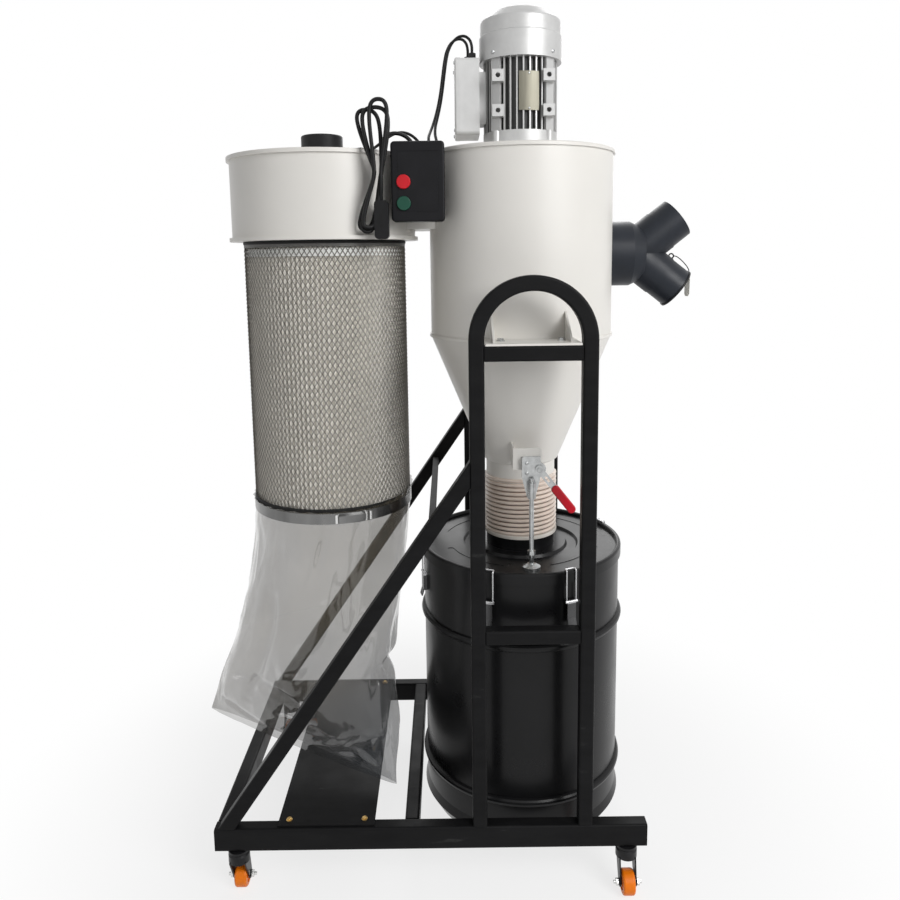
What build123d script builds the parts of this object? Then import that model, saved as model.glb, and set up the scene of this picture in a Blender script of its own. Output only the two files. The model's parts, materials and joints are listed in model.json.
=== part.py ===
from build123d import *
from math import cos, radians, sin, sqrt, tan
import os

os.makedirs("parts", exist_ok=True)

# Mobile cyclone dust collector. X runs along the base, Y from front to back, Z up from the floor.

# Shared sizes, in millimetres
sheet = 2.0
seat = 0.3
running = 0.05
tube = 30.0
tube_corner = 5.0
round_steps = 6

# Cyclone and filter, side by side
cyclone_x = 168.0
barrel_r = 200.0
can_r = 199.0
duct_gap = 33.0
filter_offset = barrel_r + can_r + duct_gap
filter_x = cyclone_x - filter_offset

# Drum
drum_r = 225.0
drum_bottom = 45.0
drum_height = 616.7
drum_foot_r = 212.0
drum_bead = 8.0
drum_bead_half = 9.0
drum_low_bead = 110.0
drum_high_bead = 463.0
drum_swell = 5.0
drum_swell_height = 30.0
drum_swell_fade = 20.0
drum_rim = drum_bottom + drum_height
lid_r = 230.0
lid_skirt = 25.0
lid_dish = 9.0
lid_roll = 5.5
lid_rib_in = 104.0
lid_rib_out = 133.0
lid_rib_depth = 6.0
lid_rib_slope = 4.0
crescent_r = 172.0
crescent_width = 15.0
crescent_span = 52.0
crescents = 4
crescent_depth = 1.0
lid_flat = drum_rim + seat + sheet
lid_top = lid_flat + lid_dish
latch_angles = (-68.0, -112.0, -167.0, 25.0)
latch_drop = 66.0
bail_half_width = 11.0
bail_wire = 1.6
bail_hook = 9.0
latch_barrel_r = 3.2
lever_length = 52.0
lever_width = 20.0
lever_plate = 2.5
lever_flare = 7.0
latch_base_width = 15.0
latch_base_height = 40.0
glide_circle_r = 150.0
glide_ball_r = 16.0
glide_cup_r = 20.0

# Transfer hose between lid and cone
collar_r = 78.0
collar_overlap = 22.0
hose_lift = 28.0
hose_length = 141.0
hose_wall = 2.5
hose_rings = 13
hose_ring_height = 2.0
hose_bottom = lid_flat + hose_lift
hose_top = hose_bottom + hose_length

# Cyclone
cone_neck = 34.0
cone_height = 282.0
cone_outlet_r = 85.0
cone_shoulder = 5.0
joint_flange = 3.0
barrel_height = 389.0
top_plate = 4.0
top_lip = 4.0
top_lip_wall = 4.0
top_edge = 2.0
cone_bottom = hose_top + cone_neck
joint_z = cone_bottom + cone_height
barrel_top = joint_z + barrel_height
deck = barrel_top + top_plate

# Base frame
caster_height = 102.0
beam_height = 50.0
drum_clear = 37.0
base_reach_left = 229.0
base_reach_right = 237.0
middle_beam_gap = 26.5
plate_shift = 2.0
plate_width = 202.0
plate_thickness = 3.0
base_left = filter_x - base_reach_left
base_right = cyclone_x + base_reach_right
middle_beam_x = cyclone_x - drum_r - middle_beam_gap
base_top = caster_height + beam_height
inner_y = drum_r + drum_clear
base_half_depth = inner_y + tube
beam_y = inner_y + tube / 2

# Hoops, crossbars and diagonals
hoop_half_width = 109.0
hoop_arch = 133.0
lower_bar_height = 428.0
brace_foot_inset = 26.0
brace_height = 748.0
brace_spare = 120.0
tie_inset = 76.0
tie_side = 14.0
tie_corner = 2.0
upper_bar_top = joint_z + joint_flange
lower_bar_top = base_top + lower_bar_height
hoop_top = upper_bar_top + hoop_arch
brace_foot_x = base_left + brace_foot_inset

# Casters
caster_left_inset = 46.0
caster_right_inset = 40.0
wheel_r = 25.0
wheel_width = 26.0
wheel_round = 5.0
wheel_hub_r = 16.0
wheel_hub_sink = 2.0
wheel_side_gap = 1.5
caster_trail = 18.0
fork_plate = 3.0
fork_boss = 4.0
fork_crown_r = 22.0
fork_crown_height = 22.0
fork_crown_round = 6.0
axle_r = 5.0
axle_head_r = 7.0
axle_head = 3.0
stem_r = 6.0
stem_flange_r = 22.0
stem_flange = 5.0
swivel_gap = 0.5

# Brackets between crossbars and barrel
bracket_plate = 4.0
bracket_half_width = 92.0
bracket_inset = 2.0
gusset_x = 75.0
gusset_height = 66.0
gusset_thickness = 4.0
gusset_root = 20.0

# Inlet wye and its cap
inlet_drop = 215.0
inlet_inset = 5.0
inlet_stub_end = 5.0
wye_collar_r = 75.0
wye_collar_length = 62.0
wye_neck_length = 29.0
wye_neck_r = 62.0
wye_wall = 3.0
wye_fork = 8.0
wye_angle = 38.0
branch_r = 50.0
branch_length = 85.0
spigot_r = 48.5
spigot_length = 48.0
cap_r = 50.5
cap_plug = 16.0
cap_end = 4.0
inlet_y = barrel_r - wye_collar_r - inlet_inset
inlet_z = barrel_top - inlet_drop
inlet_stub_r = wye_collar_r - wye_wall - seat
wye_x = cyclone_x + barrel_r + inlet_stub_end

# Filter
can_drop = 4.0
can_height = 176.0
can_flange_r = 205.0
can_flange = 8.0
can_hole_r = 150.0
knob_r = 45.0
knob_height = 50.0
knob_round = 4.0
cartridge_height = 591.0
pleats = 110
pleat_r = 172.0
pleat_depth = 7.0
media_wall = 3.0
core_r = 140.0
end_ring_r = 176.0
top_ring = 13.0
bottom_ring = 25.0
band_width = 23.0
band_thickness = 2.5
band_latch_angle = -70.0
band_lever_length = 58.0
band_lever_width = 15.0
band_lever_height = 9.0
duct_drop = 4.0
duct_height = 150.0
duct_half_width = 75.0
duct_wall = 3.0
can_top = barrel_top - can_drop
can_bottom = can_top - can_height
cartridge_bottom = can_bottom - cartridge_height
duct_top = can_top - duct_drop
duct_bottom = duct_top - duct_height

# Dust bag, a lay-flat tube that hangs askew and ends above the base plate. Each oval has its left edge, its
# right edge and its half depth, with X and Y from the filter's axis and the height as a share of the drop
bag_gap = 0.3
bag_lift = 12.7
bag_ovals = [
    ((-205.0, 0.0, 0.285), (159.0, -25.0, 0.275), 168.0),
    ((-233.0, 0.0, 0.492), (144.0, -70.0, 0.526), 150.0),
    ((-274.0, 0.0, 0.669), (133.0, -115.0, 0.715), 105.0),
    ((-318.0, 0.0, 0.866), (144.0, -180.0, 1.0), 20.0),
]

# Motor
motor_flange_r = 88.0
motor_flange = 12.0
motor_bell_r = 80.0
motor_bell_slope = 3.0
motor_bell_height = 40.0
motor_body_height = 146.0
motor_core_r = 69.0
fin_r = 79.0
fin_thickness = 3.0
fin_root = 4.0
fins = 36
rib_r = 81.0
rib_width = 24.0
rib_clear = 14.0
lug_circle_r = 78.0
lug_r = 9.0
cowl_r = 88.0
cowl_upper_r = 86.0
cowl_seam = 52.0
cowl_wall = 84.0
cowl_height = 106.0
cowl_crown_r = 60.0
cowl_round = 3.0
vent_circle_r = 35.0
vent_length = 32.0
vent_width = 5.0
vent_depth = 5.0
vents = 14
motor_body_bottom = deck + motor_bell_height
motor_body_top = motor_body_bottom + motor_body_height
motor_top = motor_body_top + cowl_height
box_left = 142.0
box_right = 90.0
box_half_depth = 50.0
box_overhang = 5.5
box_lid = 12.0
box_lid_step = 3.0
box_corner = 8.0
box_neck_inset = 25.0
pad_x = 53.0
pad_heights = (38.0, 108.0)
pad_side = 24.0
pad_root = 36.0
pad_face = 2.0
pad_hole_r = 5.0
box_bottom = motor_body_bottom - box_overhang
box_top = motor_body_top + box_overhang

# Switch
switch_offset = 18.5
switch_width = 107.0
switch_rise = 14.0
switch_height = 157.0
switch_rear_drop = 48.0
switch_rear_inset = 7.0
switch_clear = 8.8
switch_rear_depth = 23.0
switch_depth = 32.0
switch_round = 8.0
switch_edge = 4.0
switch_frame = (82.0, 118.0)
switch_frame_line = 1.2
switch_frame_depth = 0.8
button_offset = 28.5
stop_height = 78.0
start_height = 36.0
button_r = 14.0
button_height = 5.0
button_sink = 6.0
button_gap = 0.5
button_round = 1.5
pedestal_width = 44.0
pedestal_height = 80.0
switch_x = cyclone_x - barrel_r - switch_offset
switch_top = can_top + switch_rise
switch_bottom = switch_top - switch_height
switch_rear_top = switch_top - switch_rear_drop
rear_half_width = switch_width / 2 - switch_rear_inset
barrel_front = sqrt(barrel_r**2 - (barrel_r + switch_offset - rear_half_width)**2)
can_front = sqrt(can_r**2 - (filter_offset - barrel_r - switch_offset - rear_half_width)**2)
switch_back = max(barrel_front, can_front) + switch_clear
switch_split = switch_back + switch_rear_depth
switch_front = switch_split + switch_depth

# Toggle clamp
clamp_shift = 8.0
clamp_y = -175.0
clamp_standoff = 12.0
clamp_plate = 4.0
clamp_rise = 38.0
clamp_height = 87.0
clamp_half_width = 20.0
clamp_taper = 44.0
clamp_flange = 3.0
clamp_flange_depth = 13.0
guide_r = 9.0
guide_length = 34.0
rod_r = 5.0
rod_end = 8.0
foot_r = 19.0
foot_height = 5.0
foot_cone = 6.0
foot_neck_r = 9.0
nut_height = 26.0
nut_r = 9.0
nut_thickness = 8.0
pivot_dx = 17.0
pivot_drop = 27.0
pivot_boss_r = 14.0
pin_r = 4.0
pin_reach = 9.0
handle_gap = 0.5
handle_angle = -52.0
handle_length = 118.0
handle_arm_width = 14.0
handle_eye = 2.0
handle_tang_width = 10.0
handle_thickness = 5.0
handle_slot = 16.0
handle_slot_width = 5.0
handle_slot_x = 27.0
grip_start = 46.0
grip_inset = 4.0
grip_width = 18.0
grip_thickness = 12.0
grip_round = 3.0
clamp_bracket_rise = 9.0
clamp_bracket_height = 46.0
clamp_bracket_width = 60.0
clamp_bracket_shift = 8.0
clamp_bracket_corner = 6.0
clamp_bracket_root = 40.0
clamp_x = cyclone_x + clamp_shift
clamp_top = cone_bottom + clamp_rise
clamp_bottom = clamp_top - clamp_height
guide_top = clamp_bottom + guide_length
pivot_x = clamp_x + pivot_dx
pivot_z = clamp_top - pivot_drop
bracket_bottom = cone_bottom + clamp_bracket_rise
bracket_top = bracket_bottom + clamp_bracket_height

# Cords
cord_r = 4.0
lead_r = 3.0
gland_first = -7.5
gland_pitch = 16.0
gland_r = 7.0
gland_end_r = 5.0
gland_height = 22.0
box_gland_r = 8.0
box_gland_height = 15.0
box_glands = [(-104.0, -16.0), (-112.0, 16.0)]
hank_shift = 68.0
hank_drop = 33.0
hank_y = -176.0
hank_thickness = 24.0
plug_drop = 57.0
plug_shift = 4.0
plug_width = 28.0
plug_length = 75.0
plug_proud = 2.0
plug_corner = 8.0
connector_side = 17.0
connector_length = 36.0
connector_corner = 3.0
connector_x = 94.0
connector_y = -57.0


def keep(builder, name):
    """Label a finished piece and write it out."""
    builder.part.label = name
    export_step(builder.part, f"parts/{name}.step")


def side_plane(x, y=0.0):
    """Upright plane facing the front, its origin on the floor at x, y."""
    return Plane(origin=(x, y, 0), x_dir=(1, 0, 0), z_dir=(0, -1, 0))


def end_plane(x, y=0.0, z=0.0):
    """Upright plane facing right, its sketch X along the machine's Y."""
    return Plane(origin=(x, y, z), x_dir=(0, 1, 0), z_dir=(1, 0, 0))


def upright(x, y=0.0):
    """Vertical axis at x, y."""
    return Axis((x, y, 0), (0, 0, 1))


def lathe(x, outline, y=0.0):
    """Turn a closed outline of (radius, height) points about the vertical axis at x, y."""
    with BuildPart() as piece:
        with BuildSketch(side_plane(x, y)):
            with BuildLine():
                Polyline(*outline, close=True)
            make_face()
        revolve(axis=upright(x, y))
    return piece


def bulge(radius, z, out, half, start, end):
    """Points of a rounded swelling on a turned outline, from one angle to the other."""
    points = []
    for step in range(round_steps + 1):
        angle = radians(start + (end - start) * step / round_steps)
        points.append((radius + out * cos(angle), z + half * sin(angle)))
    return points


def bar(start, end, side_dir, width, height, corner):
    """Straight bar with rounded long edges from start to end."""
    run = Vector(*end) - Vector(*start)
    with BuildPart() as piece:
        with BuildSketch(Plane(origin=start, x_dir=side_dir, z_dir=run)):
            RectangleRounded(width, height, corner)
        extrude(amount=run.length)
    return piece


def route_from(start, steps):
    """Points given as steps from one place."""
    return [Vector(*start) + Vector(*step) for step in steps]


def cord_tube(route, radius):
    """Round cord along a route, each corner rounded as far as its runs allow."""
    radii = []
    for before, corner, after in zip(route, route[1:], route[2:]):
        turn = (corner - before).get_angle(after - corner)
        shorter = min((corner - before).length, (after - corner).length)
        radii.append(0.45 * shorter / tan(radians(turn / 2)))
    with BuildPart() as piece:
        with BuildLine() as path:
            FilletPolyline(*route, radius=radii)
        with BuildSketch(Plane(origin=route[0], z_dir=route[1] - route[0])):
            Circle(radius)
        sweep(path=path.wires()[0])
    return piece


# Base beams and plate
beam_z = caster_height + beam_height / 2
for side, name in ((-1, "base_front_beam"), (1, "base_rear_beam")):
    keep(bar((base_left, side * beam_y, beam_z), (base_right, side * beam_y, beam_z), (0, 1, 0),
             tube, beam_height, tube_corner), name)
for x, name in ((base_left + tube / 2, "base_left_beam"), (middle_beam_x, "base_middle_beam")):
    keep(bar((x, -inner_y, beam_z), (x, inner_y, beam_z), (1, 0, 0), tube, beam_height, tube_corner), name)
with BuildPart() as base_plate:
    with BuildSketch(Plane(origin=(filter_x + plate_shift, 0, base_top))):
        Rectangle(plate_width, 2 * beam_y + tube / 2)
    extrude(amount=plate_thickness)
keep(base_plate, "base_plate")

# Hoops, crossbars and diagonals, alike at front and rear
bend_z = hoop_top - tube / 2 - hoop_half_width
bar_reach = hoop_half_width - tube / 2
hoop_left = cyclone_x - hoop_half_width
hoop_right = cyclone_x + hoop_half_width
brace_end_x = hoop_left - tube / 2
for side, place in ((-1, "front"), (1, "rear")):
    y = side * beam_y
    with BuildPart() as hoop:
        with BuildLine() as hoop_path:
            Line((hoop_left, y, base_top), (hoop_left, y, bend_z))
            ThreePointArc((hoop_left, y, bend_z), (cyclone_x, y, bend_z + hoop_half_width),
                          (hoop_right, y, bend_z))
            Line((hoop_right, y, bend_z), (hoop_right, y, base_top))
        with BuildSketch(Plane(origin=(hoop_left, y, base_top))):
            RectangleRounded(tube, tube, tube_corner)
        sweep(path=hoop_path.wires()[0])
    keep(hoop, f"{place}_hoop")

    with BuildPart() as crossbars:
        for top in (upper_bar_top, lower_bar_top):
            with BuildSketch(end_plane(cyclone_x - bar_reach, y, top - tube / 2)):
                RectangleRounded(tube, tube, tube_corner)
            extrude(amount=2 * bar_reach)
    keep(crossbars, f"{place}_crossbars")

    foot = Vector(brace_foot_x, y, base_top)
    head = Vector(brace_end_x, y, base_top + brace_height)
    along = (head - foot).normalized()
    with BuildPart() as diagonal:
        with BuildSketch(Plane(origin=foot - along * brace_spare, x_dir=(0, 1, 0), z_dir=along)):
            RectangleRounded(tube, tube, tube_corner)
        extrude(amount=(head - foot).length + 2 * brace_spare)
        split(bisect_by=Plane.XY.offset(base_top), keep=Keep.TOP)
        split(bisect_by=Plane.YZ.offset(brace_end_x), keep=Keep.BOTTOM)
    keep(diagonal, f"{place}_diagonal")

tie_x = brace_end_x - tie_inset
tie_z = base_top + (tie_x - brace_foot_x) * brace_height / (brace_end_x - brace_foot_x)
keep(bar((tie_x, -inner_y, tie_z), (tie_x, inner_y, tie_z), (1, 0, 0), tie_side, tie_side, tie_corner),
     "diagonal_tie_bar")

# Casters: a stem fixed under each beam end, a fork that swivels on it and a wheel on the fork's axle
caster_left_x = base_left + caster_left_inset
caster_right_x = base_right - caster_right_inset
casters = {
    "front_left": (caster_left_x, -beam_y, 1),
    "front_right": (caster_right_x, -beam_y, -1),
    "rear_left": (caster_left_x, beam_y, -1),
    "rear_right": (caster_right_x, beam_y, 1),
}
crown_top = caster_height - stem_flange - swivel_gap
crown_bottom = crown_top - fork_crown_height
with BuildPart() as caster_stems:
    for x, y, trail_dir in casters.values():
        with BuildSketch(Plane(origin=(x, y, caster_height))):
            Circle(stem_flange_r)
        extrude(amount=-stem_flange)
        with BuildSketch(Plane(origin=(x, y, caster_height - stem_flange))):
            Circle(stem_r)
        extrude(amount=-fork_crown_height)
keep(caster_stems, "caster_stems")

arm_in = wheel_width / 2 + wheel_side_gap
axle_half = arm_in + fork_plate + axle_head
for place, (x, y, trail_dir) in casters.items():
    axle_y = y + trail_dir * caster_trail
    with BuildPart() as fork:
        add(lathe(x, [
            (stem_r + running, crown_bottom),
            (fork_crown_r, crown_bottom),
            (fork_crown_r, crown_top - fork_crown_round),
            (fork_crown_r - fork_crown_round / 3, crown_top - fork_crown_round / 3),
            (fork_crown_r - fork_crown_round, crown_top),
            (stem_r + running, crown_top),
        ], y).part)
        for arm_x in (x - arm_in - fork_plate, x + arm_in):
            with BuildSketch(end_plane(arm_x)):
                with Locations((axle_y, wheel_r)):
                    Circle(axle_r + fork_boss)
                with Locations((y, crown_bottom + fork_plate / 2)):
                    Rectangle(1.5 * fork_crown_r, fork_plate)
                make_hull()
            extrude(amount=fork_plate)
        with BuildSketch(end_plane(x - axle_half, axle_y, wheel_r)):
            Circle(axle_r)
        extrude(amount=2 * axle_half)
        for head_x in (x - axle_half, x + axle_half - axle_head):
            with BuildSketch(end_plane(head_x, axle_y, wheel_r)):
                RegularPolygon(axle_head_r, 6)
            extrude(amount=axle_head)
    keep(fork, f"caster_fork_{place}")

    with BuildPart() as wheel:
        with BuildSketch(end_plane(x - wheel_width / 2, axle_y, wheel_r)):
            Circle(wheel_r)
            Circle(axle_r + running, mode=Mode.SUBTRACT)
        extrude(amount=wheel_width)
        fillet(wheel.edges().filter_by(GeomType.CIRCLE).group_by(SortBy.RADIUS)[-1], wheel_round)
        for hub_x in (x - wheel_width / 2, x + wheel_width / 2 - wheel_hub_sink):
            with BuildSketch(end_plane(hub_x, axle_y, wheel_r)):
                Circle(wheel_hub_r)
                Circle(axle_r + fork_boss, mode=Mode.SUBTRACT)
            extrude(amount=wheel_hub_sink, mode=Mode.SUBTRACT)
    keep(wheel, f"caster_wheel_{place}")

# Drum shell with rolled beads and a swelled foot
swell_z = drum_bottom + drum_swell_height
drum_outside = [(drum_foot_r, drum_bottom), (drum_r + drum_swell, swell_z), (drum_r, swell_z + drum_swell_fade)]
for bead in (drum_low_bead, drum_high_bead):
    drum_outside += bulge(drum_r, drum_bottom + bead, drum_bead, drum_bead_half, -90, 90)
drum_outside += [(drum_r, drum_rim)]
drum_inside = [(r - sheet, z) for r, z in reversed(drum_outside[1:])]
drum_floor = [(drum_foot_r - sheet, drum_bottom + sheet), (0, drum_bottom + sheet), (0, drum_bottom)]
keep(lathe(cyclone_x, drum_outside + drum_inside + drum_floor), "drum_body")

# Lid with a pressed ring groove, crescents, a rolled rim and the collar under the hose
lid_outline = [
    (collar_r - sheet, hose_bottom + collar_overlap),
    (collar_r, hose_bottom + collar_overlap),
    (collar_r, lid_flat),
    (lid_rib_in, lid_flat),
    (lid_rib_in + lid_rib_slope, lid_flat - lid_rib_depth),
    (lid_rib_out - lid_rib_slope, lid_flat - lid_rib_depth),
    (lid_rib_out, lid_flat),
    (lid_r - 2 * lid_roll, lid_flat),
]
lid_outline += bulge(lid_r - lid_roll, lid_top - lid_roll, lid_roll, lid_roll, 180, 0)
lid_outline += [
    (lid_r, lid_top - lid_skirt),
    (lid_r - sheet, lid_top - lid_skirt),
    (lid_r - sheet, lid_flat - sheet),
    (lid_rib_out, lid_flat - sheet),
    (lid_rib_out - lid_rib_slope, lid_flat - lid_rib_depth - sheet),
    (lid_rib_in + lid_rib_slope, lid_flat - lid_rib_depth - sheet),
    (lid_rib_in, lid_flat - sheet),
    (collar_r - sheet, lid_flat - sheet),
]
crescent_arcs = []
for crescent in range(crescents):
    middle = (crescent + 0.5) * 360 / crescents
    crescent_arcs.append(CenterArc((0, 0), crescent_r, middle - crescent_span / 2, crescent_span))
with BuildPart() as drum_lid:
    add(lathe(cyclone_x, lid_outline).part)
    with BuildSketch(Plane(origin=(cyclone_x, 0, lid_flat))):
        for arc in crescent_arcs:
            SlotArc(arc, crescent_width)
    extrude(amount=-crescent_depth, mode=Mode.SUBTRACT)
keep(drum_lid, "drum_lid")

# Latches that hold the lid: a base and lever on the drum and a wire bail hooked over the rim
latch_z = lid_top - latch_drop
bail_r = lid_r + seat + bail_wire
bail_top = lid_top + seat + bail_wire
lever_bend = latch_z - lever_length * 0.7
lever_end = latch_z - lever_length
bail_points = []
for side, reach, z in ((-1, bail_r, latch_z), (-1, bail_r, bail_top), (-1, bail_r - bail_hook, bail_top),
                       (1, bail_r - bail_hook, bail_top), (1, bail_r, bail_top), (1, bail_r, latch_z)):
    bail_points.append((reach, side * bail_half_width, z))
with BuildPart() as latch:
    with BuildLine() as bail_path:
        FilletPolyline(*bail_points, radius=2 * bail_wire)
    with BuildSketch(Plane(origin=bail_points[0])):
        Circle(bail_wire)
    sweep(path=bail_path.wires()[0])
    with BuildSketch(side_plane(0, bail_half_width + 2 * bail_wire)):
        with Locations((bail_r, latch_z)):
            Circle(latch_barrel_r)
    extrude(amount=2 * (bail_half_width + 2 * bail_wire))
    with BuildSketch(side_plane(0, lever_width / 2)):
        with BuildLine():
            Polyline((bail_r, latch_z), (bail_r + lever_plate, latch_z), (bail_r + lever_plate, lever_bend),
                     (bail_r + lever_flare, lever_end), (bail_r + lever_flare - lever_plate, lever_end),
                     (bail_r, lever_bend), close=True)
        make_face()
    extrude(amount=lever_width)
    with BuildSketch(end_plane(drum_r + seat, 0, latch_z - latch_base_height / 2)):
        Rectangle(latch_base_width, latch_base_height)
    extrude(amount=bail_r - drum_r)
with BuildPart() as drum_latches:
    for angle in latch_angles:
        add(latch.part.moved(Location((cyclone_x, 0, 0), (0, 0, angle))))
keep(drum_latches, "drum_latches")

# Ball glides under the drum
with BuildPart() as drum_glides:
    with Locations((cyclone_x, 0, 0)):
        with PolarLocations(glide_circle_r, 4, start_angle=45):
            with Locations((0, 0, glide_ball_r)):
                Sphere(glide_ball_r)
                Cylinder(glide_cup_r, drum_bottom - glide_ball_r, align=(Align.CENTER, Align.CENTER, Align.MIN))
keep(drum_glides, "drum_glides")

# Clear hose with its wire rings
hose_in = collar_r + seat
hose_out = hose_in + hose_wall
ring_pitch = hose_length / hose_rings
hose_outline = [(hose_in, hose_bottom)]
for ring in range(hose_rings):
    z = hose_bottom + ring * ring_pitch
    hose_outline += [(hose_out, z), (hose_out + hose_ring_height, z + ring_pitch / 2)]
hose_outline += [(hose_out, hose_top), (hose_in, hose_top)]
keep(lathe(cyclone_x, hose_outline), "transfer_hose")

# Cyclone cone with its outlet collar and joint flange
cone_in_r = barrel_r - sheet
cone_outline = [
    (collar_r, hose_top - collar_overlap),
    (collar_r, cone_bottom - cone_shoulder),
    (cone_outlet_r, cone_bottom),
    (barrel_r, joint_z - joint_flange),
    (barrel_r + joint_flange, joint_z - joint_flange),
    (barrel_r + joint_flange, joint_z),
    (cone_in_r, joint_z),
    (cone_in_r, joint_z - joint_flange),
    (cone_outlet_r - sheet, cone_bottom),
    (collar_r - sheet, cone_bottom - cone_shoulder),
    (collar_r - sheet, hose_top - collar_overlap),
]
keep(lathe(cyclone_x, cone_outline), "cyclone_cone")

# Barrel with its joint flange and the tangential inlet stub
stub_length = wye_x + collar_overlap - cyclone_x
with BuildPart() as cyclone_barrel:
    with BuildSketch(Plane(origin=(cyclone_x, 0, joint_z))):
        Circle(barrel_r)
    extrude(amount=barrel_height)
    with BuildSketch(Plane(origin=(cyclone_x, 0, joint_z))):
        Circle(barrel_r + joint_flange)
    extrude(amount=joint_flange)
    with BuildSketch(end_plane(cyclone_x, inlet_y, inlet_z)):
        Circle(inlet_stub_r)
    extrude(amount=stub_length)
    with BuildSketch(Plane(origin=(cyclone_x, 0, joint_z))):
        Circle(cone_in_r)
    extrude(amount=barrel_height, mode=Mode.SUBTRACT)
    with BuildSketch(end_plane(cyclone_x, inlet_y, inlet_z)):
        Circle(inlet_stub_r - sheet)
    extrude(amount=stub_length, mode=Mode.SUBTRACT)
keep(cyclone_barrel, "cyclone_barrel")

# Top plate with a lip that closes over the barrel's edge
lip_r = barrel_r + seat + top_lip_wall
keep(lathe(cyclone_x, [
    (0, barrel_top),
    (barrel_r + seat, barrel_top),
    (barrel_r + seat, barrel_top - top_lip),
    (lip_r, barrel_top - top_lip),
    (lip_r, deck - top_edge),
    (lip_r - top_edge, deck),
    (0, deck),
]), "cyclone_top_plate")

# Brackets from the upper crossbars to the barrel
shelf_top = upper_bar_top + bracket_plate
shelf_front = base_half_depth - bracket_inset
shelf_back = inner_y / 2
gusset_wall = sqrt(barrel_r**2 - gusset_x**2) - gusset_root
with BuildPart() as cyclone_brackets:
    for side in (-1, 1):
        with BuildSketch(Plane(origin=(cyclone_x, side * (shelf_front + shelf_back) / 2, upper_bar_top))):
            Rectangle(2 * bracket_half_width, shelf_front - shelf_back)
        extrude(amount=bracket_plate)
        for x in (cyclone_x - gusset_x, cyclone_x + gusset_x):
            with BuildSketch(end_plane(x - gusset_thickness / 2)):
                with BuildLine():
                    Polyline((side * gusset_wall, shelf_top), (side * beam_y, shelf_top),
                             (side * gusset_wall, shelf_top + gusset_height), close=True)
                make_face()
            extrude(amount=gusset_thickness)
    with BuildSketch(Plane(origin=(cyclone_x, 0, upper_bar_top))):
        Circle(barrel_r + seat)
    extrude(amount=2 * gusset_height, mode=Mode.SUBTRACT)
keep(cyclone_brackets, "cyclone_brackets")

# Inlet wye: collar, neck and two branches with plain spigots, hollow throughout
neck_x = wye_x + wye_collar_length
fork_point = Vector(neck_x + wye_fork, inlet_y, inlet_z)
branch_dirs = {
    "upper": Vector(cos(radians(wye_angle)), 0, sin(radians(wye_angle))),
    "lower": Vector(cos(radians(wye_angle)), 0, -sin(radians(wye_angle))),
}
with BuildPart() as inlet_wye:
    with BuildSketch(end_plane(wye_x, inlet_y, inlet_z)):
        Circle(wye_collar_r)
    extrude(amount=wye_collar_length)
    for x, radius in ((neck_x, wye_collar_r), (neck_x + wye_neck_length, wye_neck_r)):
        with BuildSketch(end_plane(x, inlet_y, inlet_z)):
            Circle(radius)
    loft()
    for direction in branch_dirs.values():
        for radius, length in ((branch_r, branch_length), (spigot_r, branch_length + spigot_length)):
            with BuildSketch(Plane(origin=fork_point, x_dir=(0, 1, 0), z_dir=direction)):
                Circle(radius)
            extrude(amount=length)
    with BuildSketch(end_plane(wye_x, inlet_y, inlet_z)):
        Circle(wye_collar_r - wye_wall)
    extrude(amount=wye_collar_length, mode=Mode.SUBTRACT)
    for x, radius in ((neck_x, wye_collar_r), (neck_x + wye_neck_length, wye_neck_r)):
        with BuildSketch(end_plane(x, inlet_y, inlet_z)):
            Circle(radius - wye_wall)
    loft(mode=Mode.SUBTRACT)
    for direction in branch_dirs.values():
        with BuildSketch(Plane(origin=fork_point, x_dir=(0, 1, 0), z_dir=direction)):
            Circle(spigot_r - wye_wall)
        extrude(amount=branch_length + spigot_length, mode=Mode.SUBTRACT)
keep(inlet_wye, "inlet_wye")

# Plug cap in the lower branch
mouth = fork_point + branch_dirs["lower"] * (branch_length + spigot_length)
mouth_plane = Plane(origin=mouth + branch_dirs["lower"] * seat, x_dir=(0, 1, 0), z_dir=branch_dirs["lower"])
with BuildPart() as inlet_cap:
    with BuildSketch(mouth_plane):
        Circle(cap_r)
    extrude(amount=cap_end)
    with BuildSketch(mouth_plane):
        Circle(spigot_r - wye_wall - seat)
        Circle(spigot_r - 2 * wye_wall - seat, mode=Mode.SUBTRACT)
    extrude(amount=-cap_plug)
keep(inlet_cap, "inlet_cap")

# Outlet duct between the barrel and the filter can
duct_mid = cyclone_x - filter_offset / 2
with BuildPart() as outlet_duct:
    with BuildSketch(Plane(origin=(duct_mid, 0, duct_bottom))):
        Rectangle(filter_offset, 2 * duct_half_width)
    extrude(amount=duct_height)
    with BuildSketch(Plane(origin=(duct_mid, 0, duct_bottom + duct_wall))):
        Rectangle(filter_offset, 2 * (duct_half_width - duct_wall))
    extrude(amount=duct_height - 2 * duct_wall, mode=Mode.SUBTRACT)
    for x, radius, z in ((cyclone_x, barrel_r, duct_bottom), (filter_x, can_r, duct_bottom),
                         (filter_x, can_flange_r, can_top - can_flange - seat),
                         (cyclone_x, lip_r, barrel_top - top_lip - seat)):
        with BuildSketch(Plane(origin=(x, 0, z))):
            Circle(radius + seat)
        extrude(amount=duct_height, mode=Mode.SUBTRACT)
keep(outlet_duct, "outlet_duct")

# Filter can: closed on top, with a ring floor that carries the cartridge
keep(lathe(filter_x, [
    (0, can_top),
    (can_flange_r, can_top),
    (can_flange_r, can_top - can_flange),
    (can_r, can_top - can_flange),
    (can_r, can_bottom + can_flange),
    (can_flange_r, can_bottom + can_flange),
    (can_flange_r, can_bottom),
    (can_hole_r, can_bottom),
    (can_hole_r, can_bottom + sheet),
    (can_r - sheet, can_bottom + sheet),
    (can_r - sheet, can_top - sheet),
    (0, can_top - sheet),
]), "filter_can")

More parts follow.
